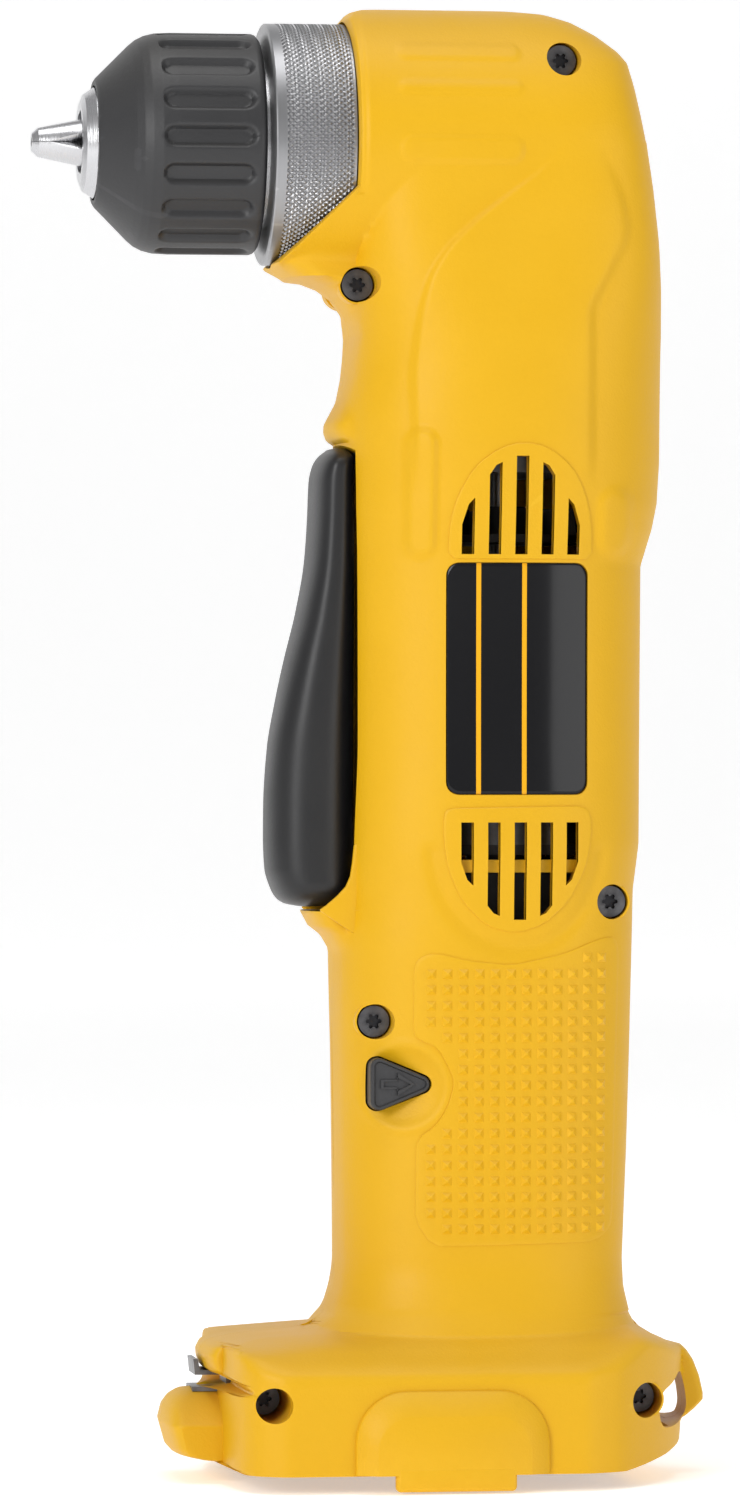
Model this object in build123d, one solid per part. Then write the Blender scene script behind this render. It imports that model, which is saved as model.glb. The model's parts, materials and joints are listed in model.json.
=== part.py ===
"""Right-angle cordless drill, bare tool without its battery pack.

Frame, in millimetres: +Z up along the handle, the chuck points to -X, and the two
housing shells part on the plane Y = 0. The origin is the middle of the footprint,
level with the latch lips that the tool stands on.
"""
from build123d import *
import math
import os

# ---------------------------------------------------------------- driving sizes
TIP_X = -60.3            # front of the closed jaws
EYE_X = 60.3             # back of the strap eye
AXIS_Z = 236.2           # height of the spindle axis
HEAD_R = 24.2            # barrel of the head around the spindle
MOTOR_X = 23.5           # vertical axis shared by motor, gearbox and pinion
WALL = 2.5               # housing wall

# Housing sections: height, front x, back x, half width, fullness (2 is an ellipse).
BARREL = [
    (20.0, -15.0, 52.0, 29.0, 2.8),
    (26.0, -11.0, 47.5, 26.0, 2.7),
    (31.0, -7.6, 45.4, 23.6, 2.6),
    (38.4, -6.3, 44.9, 21.8, 2.6),
    (57.9, -6.4, 45.7, 21.5, 2.6),
    (75.1, -6.6, 46.2, 22.0, 2.6),
    (93.0, -7.0, 46.6, 22.8, 2.6),
    (104.0, -6.6, 46.9, 23.4, 2.5),
    (112.0, -6.4, 47.9, 24.0, 2.5),
    (130.8, -6.0, 48.1, 24.0, 2.4),
    (161.4, -6.0, 48.3, 24.4, 2.4),
    (168.0, -6.0, 50.4, 25.2, 2.4),
    (173.0, -6.0, 51.3, 25.8, 2.4),
    (186.0, -6.0, 51.6, 26.0, 2.5),
    (199.0, -4.4, 51.6, 25.8, 2.7),
    (208.0, -4.2, 51.4, 25.2, 3.2),
    (216.0, -4.6, 51.0, 24.6, 3.8),
    (226.0, -5.0, 49.8, 24.4, 4.2),
    (AXIS_Z, -5.2, 48.2, 24.35, 4.4),
]

# Screws: x, z, housing surface in y, depth of the head below that surface.
SCREWS = [
    (32.0, 250.4, 17.9, 2.6),
    (-3.6, 210.8, 13.0, 2.2),
    (41.0, 101.9, 16.9, 2.4),
    (-1.1, 80.9, 16.3, 2.4),
    (-21.2, 15.0, 33.5, 15.0),
    (45.6, 14.6, 25.5, 8.0),
]
SCREW_HEAD_R, SCREW_HEAD_H, SHANK_R, BOSS_R = 2.75, 2.2, 1.45, 3.9

VENT_PITCH, VENT_W = 4.7, 2.3
VENT_X = MOTOR_X
PLATE = (23.1, 141.2, 25.4, 40.8, 2.8)   # centre x, centre z, width, height, corner
PADDLE_HALF = 11.5       # half width of the paddle
PADDLE_PIVOT = (-2.2, 181.2)
BUTTON = (2.7, 70.0)     # x and z of the direction button
CASE_R = 19.6            # crossing barrel of the gear case
CASE_BACK = 33.0         # where its rear cover closes it
FOOT_Z0 = 2.7            # under face of the foot; the latch lips reach down to 0

# Gears, chuck, motor, switch and wiring
PADDLE_POCKET = [(-30, 100.2), (6.0, 100.2), (6.0, 112.0), (1.2, 160.0), (1.2, 179.6), (-3.4, 181.2),
                 (-7.9, 184.0), (-30, 184.0)]
SUN, PLANET, RING, GEAR_M = 12, 15, 42, 0.75
PINION, CROWN, BEVEL_M = 13, 38, 0.86
PLANET_ORBIT = (SUN + PLANET) * GEAR_M / 2
CROWN_R = BEVEL_M * CROWN / 2
PLANET_Z = (181.0, 188.0)
SLEEVE_R = 19.6
RING_R = 21.5
NOSE_X = -51.8
JAW_ANGLE = 14.0
JAW_R = 2.6
GRIP_R = 0.8
JAW_ROLLS = (150.0, 30.0, -90.0)
CAN_R = 18.4
CAN_Z = (112.0, 163.0)
PADDLE_FRONT = [(-7.2, 182.2), (-9.2, 180.2), (-10.3, 176.6), (-10.6, 170.0), (-11.1, 162.5), (-12.7, 153.4),
                (-15.0, 144.4), (-16.6, 137.1), (-18.0, 129.0), (-18.7, 119.0), (-18.5, 107.6), (-17.4, 103.9),
                (-15.2, 102.0), (-11.9, 101.5)]
PADDLE_BACK = [(-8.8, 102.6), (-5.4, 104.0), (-3.8, 107.0), (-3.2, 116.0), (-3.2, 176.0), (-2.2, 180.4),
               (-3.4, 181.8)]
PLUNGER_Z = 104.0        # height of the switch push rod
CONTACTS = (11.0, 20.0, 29.0)
LEADS = {
    "battery_lead_red": [(30.0, 10.1, 60.25), (30.6, 10.6, 65.0), (37.6, 10.3, 70.0), (39.6, 6.4, 74.0),
                         (37.0, 4.8, 76.8)],
    "battery_lead_black": [(30.0, -10.1, 60.25), (30.6, -10.6, 65.0), (37.6, -10.3, 70.0), (39.6, -6.4, 74.0),
                           (37.0, -4.8, 76.8)],
    "motor_lead_red": [(31.0, 5.4, 107.2), (31.4, 5.9, 108.4), (32.0, 6.6, 109.7)],
    "motor_lead_black": [(31.0, -5.4, 107.2), (31.4, -5.9, 108.4), (32.0, -6.6, 109.7)],
}


# ---------------------------------------------------------------- small helpers
def cyl_x(r, x0, x1, y=0.0, z=0.0):
    """Cylinder along X from x0 to x1."""
    return Pos((x0 + x1) / 2, y, z) * Rot(0, 90, 0) * Cylinder(r, x1 - x0)


def cyl_y(r, y0, y1, x=0.0, z=0.0):
    """Cylinder along Y from y0 to y1."""
    return Pos(x, (y0 + y1) / 2, z) * Rot(90, 0, 0) * Cylinder(r, y1 - y0)


def cyl_z(r, z0, z1, x=0.0, y=0.0):
    """Cylinder along Z from z0 to z1."""
    return Pos(x, y, (z0 + z1) / 2) * Cylinder(r, z1 - z0)


def block(x0, x1, y0, y1, z0, z1):
    """Box between two corners."""
    return Pos((x0 + x1) / 2, (y0 + y1) / 2, (z0 + z1) / 2) * Box(x1 - x0, y1 - y0, z1 - z0)


def tube_z(r_out, r_in, z0, z1, x=0.0, y=0.0):
    """Ring along Z."""
    return cyl_z(r_out, z0, z1, x, y) - cyl_z(r_in, z0 - 1, z1 + 1, x, y)


def tube_x(r_out, r_in, x0, x1, z=AXIS_Z):
    """Ring along X on the spindle axis."""
    return cyl_x(r_out, x0, x1, 0, z) - cyl_x(r_in, x0 - 1, x1 + 1, 0, z)


def side_prism(points, half):
    """Polygon of (x, z) points carried from -half to +half in Y."""
    wire = Polyline([(x, 0, z) for x, z in points], close=True)
    face = Pos(0, -half, 0) * make_face(wire)
    return extrude(face, amount=2 * half, dir=(0, 1, 0))


def plan_prism(points, z0, z1):
    """Polygon of (x, y) points carried from z0 to z1."""
    return extrude(Pos(0, 0, z0) * make_face(Polyline([(x, y, 0) for x, y in points], close=True)),
                   amount=z1 - z0, dir=(0, 0, 1))


def turned_x(points, z=AXIS_Z):
    """Solid of revolution about the spindle axis from (x, radius) points."""
    wire = Polyline([(x, 0, z + r) for x, r in points], close=True)
    return revolve(make_face(wire), Axis((0, 0, z), (1, 0, 0)))


def across(points, x0, x1):
    """Polygon of (y, z) points carried from x0 to x1."""
    wire = Polyline([(x0, y, z) for y, z in points], close=True)
    return extrude(make_face(wire), amount=x1 - x0, dir=(1, 0, 0))


def half_section(z, x0, x1, half, full, steps=15):
    """Left half of a superellipse housing section at one height, closed on the parting plane."""
    mid, a = (x0 + x1) / 2, (x1 - x0) / 2
    pts = []
    for i in range(steps):
        t = math.pi * i / (steps - 1)
        c, s = math.cos(t), max(math.sin(t), 0.0)
        pts.append((mid + a * math.copysign(abs(c) ** (2 / full), c), -half * s ** (2 / full), z))
    pts[0], pts[-1] = (x1, 0, z), (x0, 0, z)
    return make_face([Spline(*pts), Line(pts[-1], pts[0])])


def barrel(inset, z_low=-1e9, z_high=1e9):
    """Left half of the housing barrel, inset by a wall, between two heights."""
    rows = [r for r in BARREL if z_low <= r[0] <= z_high]
    return loft([half_section(z, x0 + inset, x1 - inset, b - inset, n)
                 for z, x0, x1, b, n in rows], ruled=True)


# ---------------------------------------------------------------- housing shells
def left_half():
    """Everything on the left of the parting plane."""
    return block(-100, 100, -60, 0, -30, 300)


def head(inset=0.0):
    """Left half of the head barrel around the spindle, with its rounded back."""
    back = [(-4.0, 212), (-5.2, 218), (-5.2, 258.0), (-3.6, 259.7), (-1.8, 270), (25.0, 270), (25.6, 260.3),
            (31.4, 259.4), (36.0, 257.6), (40.4, 254.9), (43.8, 251.8), (45.6, 248.4), (46.8, 243.6),
            (48.0, 237.4), (48.4, 232.0), (48.4, 212)]
    tube = cyl_x(HEAD_R - inset, -40, 60, 0, AXIS_Z)
    front = -5.2 if inset == 0 else -3.4
    window = side_prism(back, 30) & block(front, 60, -30, 30, 200, 300)
    if inset:
        window = Pos(-inset * 0.96, 0, -inset * 0.3) * window & block(front, 60, -30, 30, 200, 300)
    return tube & window & left_half()


def collar():
    """Barrel of the head that wraps the chuck's rear ring, cut back on a slant."""
    profile = [(-18.2, 205), (-18.2, 214.6), (-5.2, 227.6), (-5.2, 258.0), (-3.6, 259.7), (-2.0, 265), (4, 265),
               (4, 205)]
    return cyl_x(HEAD_R, -18.2, 4.0, 0, AXIS_Z) & side_prism(profile, 40)


def chin():
    """Web under the collar, with a concave front edge for the finger."""
    return side_prism([(-16.5, 214.2), (-13.0, 212.3), (-9.2, 210.8), (-6.8, 209.2), (-5.0, 206.8),
                       (-3.9, 203.5), (6, 201), (6, 222), (-8, 222)], 13.0)


def lips():
    """Brow above the paddle and chin below it, which guard its two ends."""
    brow = [(-3.6, 194.0), (-7.9, 187.6), (-7.9, 184.2), (-3.5, 180.6), (4, 178), (4, 196)]
    guard = [(-5.6, 103.0), (-9.8, 101.6), (-12.0, 100.0), (-10.6, 97.6), (-7.6, 95.6),
             (-6.2, 92.0), (2, 90), (2, 104)]
    return side_prism(brow, 11.0) + side_prism(guard, 11.5)


def foot_plan(inset=0.0):
    """Plan of the foot: a long rounded rectangle, narrower at the strap eye."""
    half = [(-27.4, 22.0), (-26.0, 29.5), (-22.5, 33.6), (-18.0, 35.0), (33.0, 35.0), (38.6, 33.0),
            (46.0, 25.5), (52.0, 15.5), (55.0, 7.0)]
    half = [(x + (inset if x < 0 else -inset), y - inset) for x, y in half]
    return [(x, -y) for x, y in half] + list(reversed(half))


def foot_body(inset=0.0):
    """Foot shell: plan outline, sloping roof from the side walls to the handle."""
    low = FOOT_Z0 - (6 if inset else 0)
    t = 1.25 * inset
    plan = plan_prism(foot_plan(inset), low, 32)
    roof = across([(-36, -6), (-36, 20.2 - t), (-35.2, 20.6 - t), (-26.0, 25.0 - t), (-20, 27.6 - t), (20, 27.6 - t),
                   (26.0, 25.0 - t), (35.2, 20.6 - t), (36, 20.2 - t), (36, -6)], -60, 70)
    top = [(-27.6, 25.2 - t), (-10.0, 26.6 - t), (44, 27.4 - t), (50, 25.0 - t), (55.4, 22.6 - t)]
    if inset:
        side = [(-27.6, low)] + top + [(55.4, low)]
    else:
        side = [(-27.6, FOOT_Z0)] + top + [(55.4, 5.6), (43.0, FOOT_Z0)]
    return plan & roof & side_prism(side, 60)


def bit_arms():
    """Two arms at the front of the foot with an open slot between them for a driver bit."""
    upper = [(-22.0, 16.6), (-25.2, 16.9), (-26.6, 18.5), (-29.0, 18.8), (-30.0, 19.8), (-30.6, 22.1),
             (-29.9, 23.6), (-27.9, 24.7), (-23.5, 25.3), (-20.0, 25.6)]
    lower = [(-22.0, 3.0), (-29.6, 3.6), (-35.2, 4.4), (-36.9, 7.1), (-37.5, 9.8), (-37.1, 12.6), (-36.0, 14.4),
             (-34.0, 15.8), (-22.0, 16.7)]
    crown = across([(-13, 0), (-13, 9.8), (-9, 12.9), (-5, 14.9), (0, 15.8), (5, 14.9), (9, 12.9), (13, 9.8),
                    (13, 0)], -40, -22)
    return side_prism(upper, 13.0) + (side_prism(lower, 13.0) & crown)


def strap_eye():
    """Arched eye at the back of the foot for a wrist strap."""
    return side_prism([(50.0, 23.6), (53.4, 23.6), (56.1, 22.6), (57.4, 21.4), (58.5, 19.7), (59.5, 16.8),
                       (60.1, 13.8), (EYE_X, 12.6), (58.7, 11.0), (56.8, 9.4), (50.0, 9.0)], 4.5)


def strap_hole():
    """Way through the back of the foot behind the eye."""
    return side_prism([(49.6, 8.8), (55.6, 9.4), (56.6, 11.4), (56.4, 14.0), (55.8, 17.0), (54.6, 18.6),
                       (52.4, 16.8), (49.0, 15.4), (48.4, 12.0)], 60)


def latch_panel():
    """Raised panel on the left of the foot, over the battery latch, ending in a lip."""
    raised = side_prism([(-7.2, FOOT_Z0), (-7.2, 14.5), (-4.0, 17.6), (23.6, 17.6), (26.8, 14.5),
                         (26.8, FOOT_Z0)], 1.3)
    face = side_prism([(-0.4, 0.0), (-0.4, FOOT_Z0), (-3.4, 5.0), (-3.4, 12.0), (-1.8, 13.6), (21.6, 13.6),
                       (23.2, 12.0), (23.2, 5.0), (20.8, FOOT_Z0), (20.8, 0.0)], 1.9)
    return Pos(0, -35.1, 0) * raised + Pos(0, -36.1, 0) * face


def vent_slots():
    """Ten slots through each side, inside an arch above and below the name plate."""
    cuts = []
    for k, (up, down) in enumerate([(172.2, 105.6), (178.2, 100.5), (179.8, 99.6), (178.2, 100.5), (172.2, 105.6)]):
        x = VENT_X + (k - 2) * VENT_PITCH
        for z0, z1 in ((163.0, up), (down, 116.0)):
            cuts.append(block(x - VENT_W / 2, x + VENT_W / 2, -40, 40, z0, z1))
    return cuts


def screw_boss(x, z, side, surface, depth):
    """Boss that a screw passes through (left) or bites into (right)."""
    reach = surface - depth - SCREW_HEAD_H
    if side < 0:
        return cyl_y(BOSS_R, -(surface - 1.4), 0, x, z)
    return cyl_y(BOSS_R, 0, max(11.0, min(reach, surface - 1.4)), x, z)


def outside():
    """Left half of the housing's outer form."""
    body = barrel(0, -1e9, AXIS_Z) + head()
    extra = collar() + chin()
    for piece in (extra, lips(), foot_body(), bit_arms(), strap_eye()):
        body += piece & left_half()
    return body + latch_panel() - strap_hole()


def inside():
    """Left half of the room inside the housing."""
    room = barrel(WALL, -1e9, AXIS_Z) + head(WALL)
    return room + (foot_body(WALL) & left_half())


def shell(side, outer, inner):
    """One half of the clamshell housing."""
    body = outer - inner
    ribs = [
        block(4.0, 43.0, -30, 30, 107.2, 109.4) - cyl_z(16.5, 100, 112, MOTOR_X),
        block(-3.0, 49.0, -30, 30, 172.8, 174.8) - cyl_z(17.2, 170, 178, MOTOR_X),
        block(-2.0, 44.0, -30, 30, 60.2, 62.2) - block(0.5, 40.0, -17, 17, 55, 64),
        block(-19.0, 34.0, -33.6, -28.6, 5.0, 8.0) + block(-19.0, 34.0, 28.6, 33.6, 5.0, 8.0),
    ]
    for x, z, surface, depth in SCREWS:
        ribs.append(screw_boss(x, z, side, surface, depth))
    for rib in ribs:
        body += rib & outer
    body -= side_prism(PADDLE_POCKET, 12.1)
    body -= cyl_y(3.3, -12.1, 12.1, *PADDLE_PIVOT) + cyl_y(1.55, -14.3, 14.3, *PADDLE_PIVOT)
    body -= block(-34, -25.1, -4.9, 4.9, 15.1, 19.2)
    body -= cyl_x(22.0, -30, -3.4, 0, AXIS_Z)
    for cut in vent_slots():
        body -= cut
    for x, z, surface, depth in SCREWS:
        if side < 0:
            body -= cyl_y(SCREW_HEAD_R + 0.35, -45, -(surface - depth - SCREW_HEAD_H), x, z)
            body -= cyl_y(SHANK_R + 0.15, -45, 1, x, z)
        else:
            body -= cyl_y(SHANK_R + 0.02, -1, 10.2, x, z)
    body -= cyl_y(7.2, *sorted((side * 40, side * 17.4)), *BUTTON)
    body -= button_prism(0.3, 40)
    body -= plate_band(0.7, -1.0, side)
    return body - case_space()


def plate_band(deep, high, side):
    """Layer of the housing surface under or over the name plate outline."""
    cx, cz, w, h, r = PLATE
    rows = [(112.0, -7.4, 48.9, 24.0, 2.5), (130.8, -7.0, 49.1, 24.0, 2.4), (161.4, -7.0, 49.3, 24.4, 2.4),
            (168.0, -7.0, 49.6, 24.5, 2.4)]
    outer, inner = (loft([half_section(z, x0, x1, b - d, n) for z, x0, x1, b, n in rows], ruled=True)
                    for d in (high, deep))
    outline = extrude(Plane.XZ * Pos(cx, cz, 0) * RectangleRounded(w, h, r), amount=40, both=True)
    band = (outer - inner) & outline & block(-60, 60, -60, -10, 100, 180)
    return band if side < 0 else mirror(band, about=Plane.XZ)


def button_prism(grow, half):
    """Rounded triangle of the direction button, point to the back, carried through in Y."""
    x, z = BUTTON
    corners = [(x - 4.0, z - 3.6), (x - 4.0, z + 3.6), (x + 4.4, z)]
    face = make_face(Polyline([(px, 0, pz) for px, pz in corners], close=True))
    face = offset(face, amount=1.0 + grow, kind=Kind.ARC)
    return extrude(Pos(0, -half, 0) * face, amount=2 * half, dir=(0, 1, 0))


def case_space():
    """Room for the metal gear case inside the housing ribs and bosses."""
    x, z = SCREWS[0][:2]
    return (cyl_x(20.1, 1.0, 35.8, 0, AXIS_Z) + cyl_z(20.8, 177.0, 208.0, MOTOR_X) +
            cyl_x(10.0, 30.0, 39.6, 0, AXIS_Z) + cyl_x(15.6, -3.4, 2.0, 0, AXIS_Z) +
            cyl_z(14.4, 200.0, AXIS_Z, MOTOR_X)) - cyl_y(BOSS_R, -40, 40, x, z)


# ---------------------------------------------------------------- fasteners
def torx_recess(depth, r=1.35):
    """Six-lobed socket cut, along +Z from the origin."""
    tool = Cylinder(r * 0.72, depth, align=(Align.CENTER, Align.CENTER, Align.MIN))
    for k in range(6):
        a = math.radians(60 * k)
        tool += Pos(r * 0.78 * math.cos(a), r * 0.78 * math.sin(a), 0) * Cylinder(
            r * 0.26, depth, align=(Align.CENTER, Align.CENTER, Align.MIN))
    return tool


def shell_screws():
    """Six pan-head screws that close the housing."""
    group = []
    for x, z, surface, depth in SCREWS:
        top = -(surface - depth)
        head = cyl_y(SCREW_HEAD_R, top, top + SCREW_HEAD_H, x, z)
        shank = cyl_y(SHANK_R, top + SCREW_HEAD_H, 9.8, x, z)
        recess = Pos(x, top - 0.01, z) * Rot(-90, 0, 0) * torx_recess(1.3)
        group.append(head + shank - recess)
    return group


# ---------------------------------------------------------------- gears
def involute_angle(r, base):
    """Involute function at a radius, 0 inside the base circle."""
    if r <= base:
        return 0.0
    a = math.acos(base / r)
    return math.tan(a) - a


def tooth_profile(teeth, module, add, ded, play, flank_steps=4):
    """Half-tooth list of (radius, half angle) from root to tip of a 20 degree involute."""
    pitch = teeth * module / 2
    base = pitch * math.cos(math.radians(20))
    half = math.pi / (2 * teeth) - play / (2 * pitch)
    root, tip = pitch - ded * module, pitch + add * module
    start = max(root, base)
    radii = [root] if root < base else []
    radii += [start + (tip - start) * i / flank_steps for i in range(flank_steps + 1)]
    at_pitch = involute_angle(pitch, base)
    return [(r, half + at_pitch - involute_angle(r, base)) for r in radii]


def gear_points(teeth, module, add=1.0, ded=1.25, play=0.08):
    """Closed outline of a spur gear, tooth 0 centred on +X."""
    side = tooth_profile(teeth, module, add, ded, play)
    pts = []
    for k in range(teeth):
        mid = 2 * math.pi * k / teeth
        pts += [(r * math.cos(mid - h), r * math.sin(mid - h)) for r, h in side]
        pts += [(r * math.cos(mid + h), r * math.sin(mid + h)) for r, h in reversed(side)]
    return pts


def bevel_points(teeth, mate, module, dist, play=0.14):
    """Outline of a bevel gear on the plane square to its axis at dist from the apex."""
    cone = math.atan(teeth / mate)
    slant = module * teeth / 2 / math.sin(cone)
    back = slant * math.tan(cone)
    virtual = teeth / math.cos(cone)
    side = tooth_profile(virtual, module, 0.9, 1.2, play, 3)
    pts = []
    for k in range(teeth):
        mid = 2 * math.pi * k / teeth
        rim = [(dist * math.tan(cone + math.atan((r - back) / slant)), h / math.cos(cone)) for r, h in side]
        pts += [(r * math.cos(mid - h), r * math.sin(mid - h)) for r, h in rim]
        pts += [(r * math.cos(mid + h), r * math.sin(mid + h)) for r, h in reversed(rim)]
    return pts


def spur(teeth, z0, z1, bore, x, y=0.0, turn=0.0):
    """Spur gear with a round bore."""
    gear = Rot(0, 0, turn) * plan_prism(gear_points(teeth, GEAR_M), z0, z1)
    return Pos(x, y, 0) * (gear - Cylinder(bore, 600))


def ring_gear():
    """Fixed internal gear, keyed into the gear case by its outside."""
    space = gear_points(RING, GEAR_M, 1.2, 0.7, -0.1)
    return Pos(MOTOR_X, 0, 0) * (cyl_z(18.4, 179.6, 190.0) - plan_prism(space, 170, 200))


def bevel_pinion():
    """Bevel pinion, teeth towards the spindle."""
    far, near = CROWN_R, CROWN_R * 0.72
    big = make_face(Polyline([(x, y, -far) for x, y in bevel_points(PINION, CROWN, BEVEL_M, far)], close=True))
    small = make_face(Polyline([(x, y, -near) for x, y in bevel_points(PINION, CROWN, BEVEL_M, near)], close=True))
    teeth = loft([big, small], ruled=True)
    hub = cyl_z(4.6, -far - 3.0, -far)
    return Pos(MOTOR_X, 0, AXIS_Z) * (teeth + hub - cyl_z(2.8, -far - 4, -near + 1))


def crown_gear():
    """Large bevel gear on the spindle, teeth facing backwards."""
    d0, d1 = 3.3, 8.6
    faces = [make_face(Polyline([(x, y, -d) for x, y in bevel_points(CROWN, PINION, BEVEL_M, d)], close=True))
             for d in (d0, d1)]
    cone = loft(faces, ruled=True) & cyl_z(CROWN_R + 0.35, -8.6, -3.3)
    cone -= cyl_z(CROWN_R * 0.72, -5.9, 0)
    cone += cyl_z(8.6, -8.6, -4.4)
    cone -= cyl_z(6.0, -10, 0)
    return Pos(MOTOR_X, 0, AXIS_Z) * Rot(0, 90, 0) * cone


# ---------------------------------------------------------------- gearbox
def gear_case():
    """Cast case: upright barrel for the planet stage, crossing barrel for the spindle."""
    outside = cyl_z(20.2, 177.6, 207.4, MOTOR_X) + cyl_z(14.0, 200.0, AXIS_Z, MOTOR_X)
    outside += cyl_x(CASE_R, 1.8, CASE_BACK, 0, AXIS_Z)
    room = cyl_z(18.5, 170, 197.6, MOTOR_X) + cyl_z(9.5, 190, 206, MOTOR_X) + cyl_z(12.0, 205.4, AXIS_Z, MOTOR_X)
    room += cyl_x(CASE_R - 1.8, 12.8, 50, 0, AXIS_Z) + cyl_x(14.0, 0, 14, 0, AXIS_Z)
    room += block(CASE_BACK, 60, -30, 30, 207.4, 270)
    return outside - room - boss_way()


def boss_way():
    """Cross hole that lets the upper housing screw and its boss pass the gear case."""
    return cyl_y(BOSS_R + 0.3, -40, 40, *SCREWS[0][:2])


def gear_case_cover():
    """Rear cover of the case, with the blind seat of the rear bush."""
    plate = cyl_x(CASE_R, CASE_BACK + 0.05, CASE_BACK + 2.2, 0, AXIS_Z) + cyl_x(9.6, CASE_BACK + 0.05, 39.2, 0, AXIS_Z)
    return plate - cyl_x(7.5, CASE_BACK - 1, 37.4, 0, AXIS_Z) - boss_way()


def ball_bearing(r_in, r_out, w, count, ball):
    """Inner race, outer race and balls of a bearing, along Z from 0 to w."""
    mid = (r_in + r_out) / 2
    groove = Pos(0, 0, w / 2) * Torus(mid, ball + 0.03)
    inner = tube_z(mid - 0.62 * ball, r_in, 0, w) - groove
    outer = tube_z(r_out, mid + 0.62 * ball, 0, w) - groove
    balls = [Pos(mid * math.cos(a), mid * math.sin(a), w / 2) * Sphere(ball)
             for a in (2 * math.pi * k / count for k in range(count))]
    return inner, outer, balls


# ---------------------------------------------------------------- chuck


def jaw_frame(roll):
    """Placement whose +X runs back along one jaw, from where its axis meets the tip."""
    return Pos(0, 0, AXIS_Z) * Rot(roll, 0, 0) * Pos(-57.0, 0, 2.0) * Rot(0, -JAW_ANGLE, 0)


def jaw_rod(roll, radius, front, back):
    """Inclined rod on a jaw's axis."""
    return jaw_frame(roll) * Pos((front + back) / 2, 0, 0) * Rot(0, 90, 0) * Cylinder(radius, back - front)


def jaw(roll):
    """One jaw: a rod ground to a third of a circle, with a gripping face along the axis."""
    rod = jaw_rod(roll, JAW_R, -8.0, 24.0)
    sector = [(0.0, 0.06), (12 * math.sin(math.radians(60)), 0.06 + 12 * math.cos(math.radians(60))),
              (0, 24), (-12 * math.sin(math.radians(60)), 0.06 + 12 * math.cos(math.radians(60)))]
    wire = Polyline([(0, y, z) for y, z in sector], close=True)
    wedge = extrude(Pos(-70, 0, 0) * make_face(wire), amount=60, dir=(1, 0, 0))
    tip = turned_x([(TIP_X, 0.1), (TIP_X, 1.6), (TIP_X + 1.1, 2.6), (-51.0, 4.3), (-51.0, 12.0), (-20, 20),
                    (-20, 0.1)])
    solid = rod & (Pos(0, 0, AXIS_Z) * Rot(roll, 0, 0) * wedge) & tip
    return solid - cyl_x(GRIP_R, -70, -44, 0, AXIS_Z)


def chuck_body():
    """Steel body with three inclined jaw ways, a nose and a threaded back."""
    profile = [(NOSE_X, 0), (NOSE_X, 7.2), (-51.2, 8.6), (-49.4, 9.8), (-45.0, 9.8), (-41.0, 12.6), (-33.2, 12.6),
               (-33.2, 12.2), (-28.8, 12.2), (-28.8, 14.8), (-5.8, 14.8), (-5.8, 0)]
    body = turned_x(profile)
    body -= cyl_x(5.2, -60, -26.0, 0, AXIS_Z)
    body -= cyl_x(4.76, -18.6, 0, 0, AXIS_Z) + cyl_x(2.65, -27, -17, 0, AXIS_Z)
    for roll in JAW_ROLLS:
        body -= jaw_rod(roll, JAW_R + 0.08, -12.0, 42.5)
    return body


def chuck_sleeve():
    """Grip sleeve with eighteen flutes, turned by hand to move the jaws."""
    outer = [(-49.3, 10.15), (-49.3, 11.2), (-42.9, 17.6), (-41.4, 18.9), (-39.2, 19.5), (-36.0, SLEEVE_R),
             (-21.2, SLEEVE_R), (-20.4, 18.9), (-20.4, 16.6)]
    inner = [(-28.6, 16.6), (-28.6, 15.9), (-33.5, 15.9), (-40.4, 13.4), (-44.8, 10.15)]
    body = turned_x(outer + inner)
    for k in range(18):
        angle = 20 * k + 6.0
        groove = cyl_x(2.0, -36.6, -24.4, 0, SLEEVE_R + 1.1)
        groove += Pos(-36.6, 0, SLEEVE_R + 1.1) * Sphere(2.0) + Pos(-24.4, 0, SLEEVE_R + 1.1) * Sphere(2.0)
        body -= Pos(0, 0, AXIS_Z) * Rot(angle, 0, 0) * groove
    return body


def chuck_nut():
    """Nut ring that the sleeve carries; its thread drives the jaws."""
    return tube_x(15.85, 12.3, -33.0, -29.0)


def chuck_ring():
    """Knurled steel ring pressed on the body."""
    return turned_x([(-19.4, 14.8), (-19.4, 19.0), (-17.6, RING_R - 0.5), (-16.9, RING_R), (-5.6, RING_R),
                     (-5.0, RING_R - 0.6), (-5.0, 14.8)])


def spindle():
    """Output spindle: thread for the chuck, bearing seats and gear seat."""
    steps = [(-16.5, 4.7), (-5.6, 4.7), (-5.6, 9.0), (2.4, 9.0), (2.4, 6.0), (24.0, 6.0), (24.0, 5.0), (32.8, 5.0),
             (32.8, 4.0), (37.0, 4.0)]
    solid = turned_x([(-16.5, 0)] + steps + [(37.0, 0)])
    return solid - cyl_x(2.1, -17, -4, 0, AXIS_Z)


def chuck_screw():
    """Left-hand screw inside the chuck that keeps it on the spindle."""
    head = cyl_x(4.4, -29.2, -26.05, 0, AXIS_Z)
    socket = Pos(-29.21, 0, AXIS_Z) * Rot(0, 90, 0) * torx_recess(1.6, 2.2)
    return head + cyl_x(2.0, -26.05, -8.0, 0, AXIS_Z) - socket


# ---------------------------------------------------------------- motor


def motor_can():
    """Drawn steel can, closed at the top with a bearing boss."""
    x = MOTOR_X
    can = tube_z(CAN_R, CAN_R - 1.2, CAN_Z[0], CAN_Z[1], x) + tube_z(CAN_R - 1.0, 5.0, CAN_Z[1] - 1.6, CAN_Z[1], x)
    for k in range(6):
        a = math.radians(60 * k + 30)
        can -= cyl_z(1.9, 150, 170, x + 11.5 * math.cos(a), 11.5 * math.sin(a))
    return can


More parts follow.
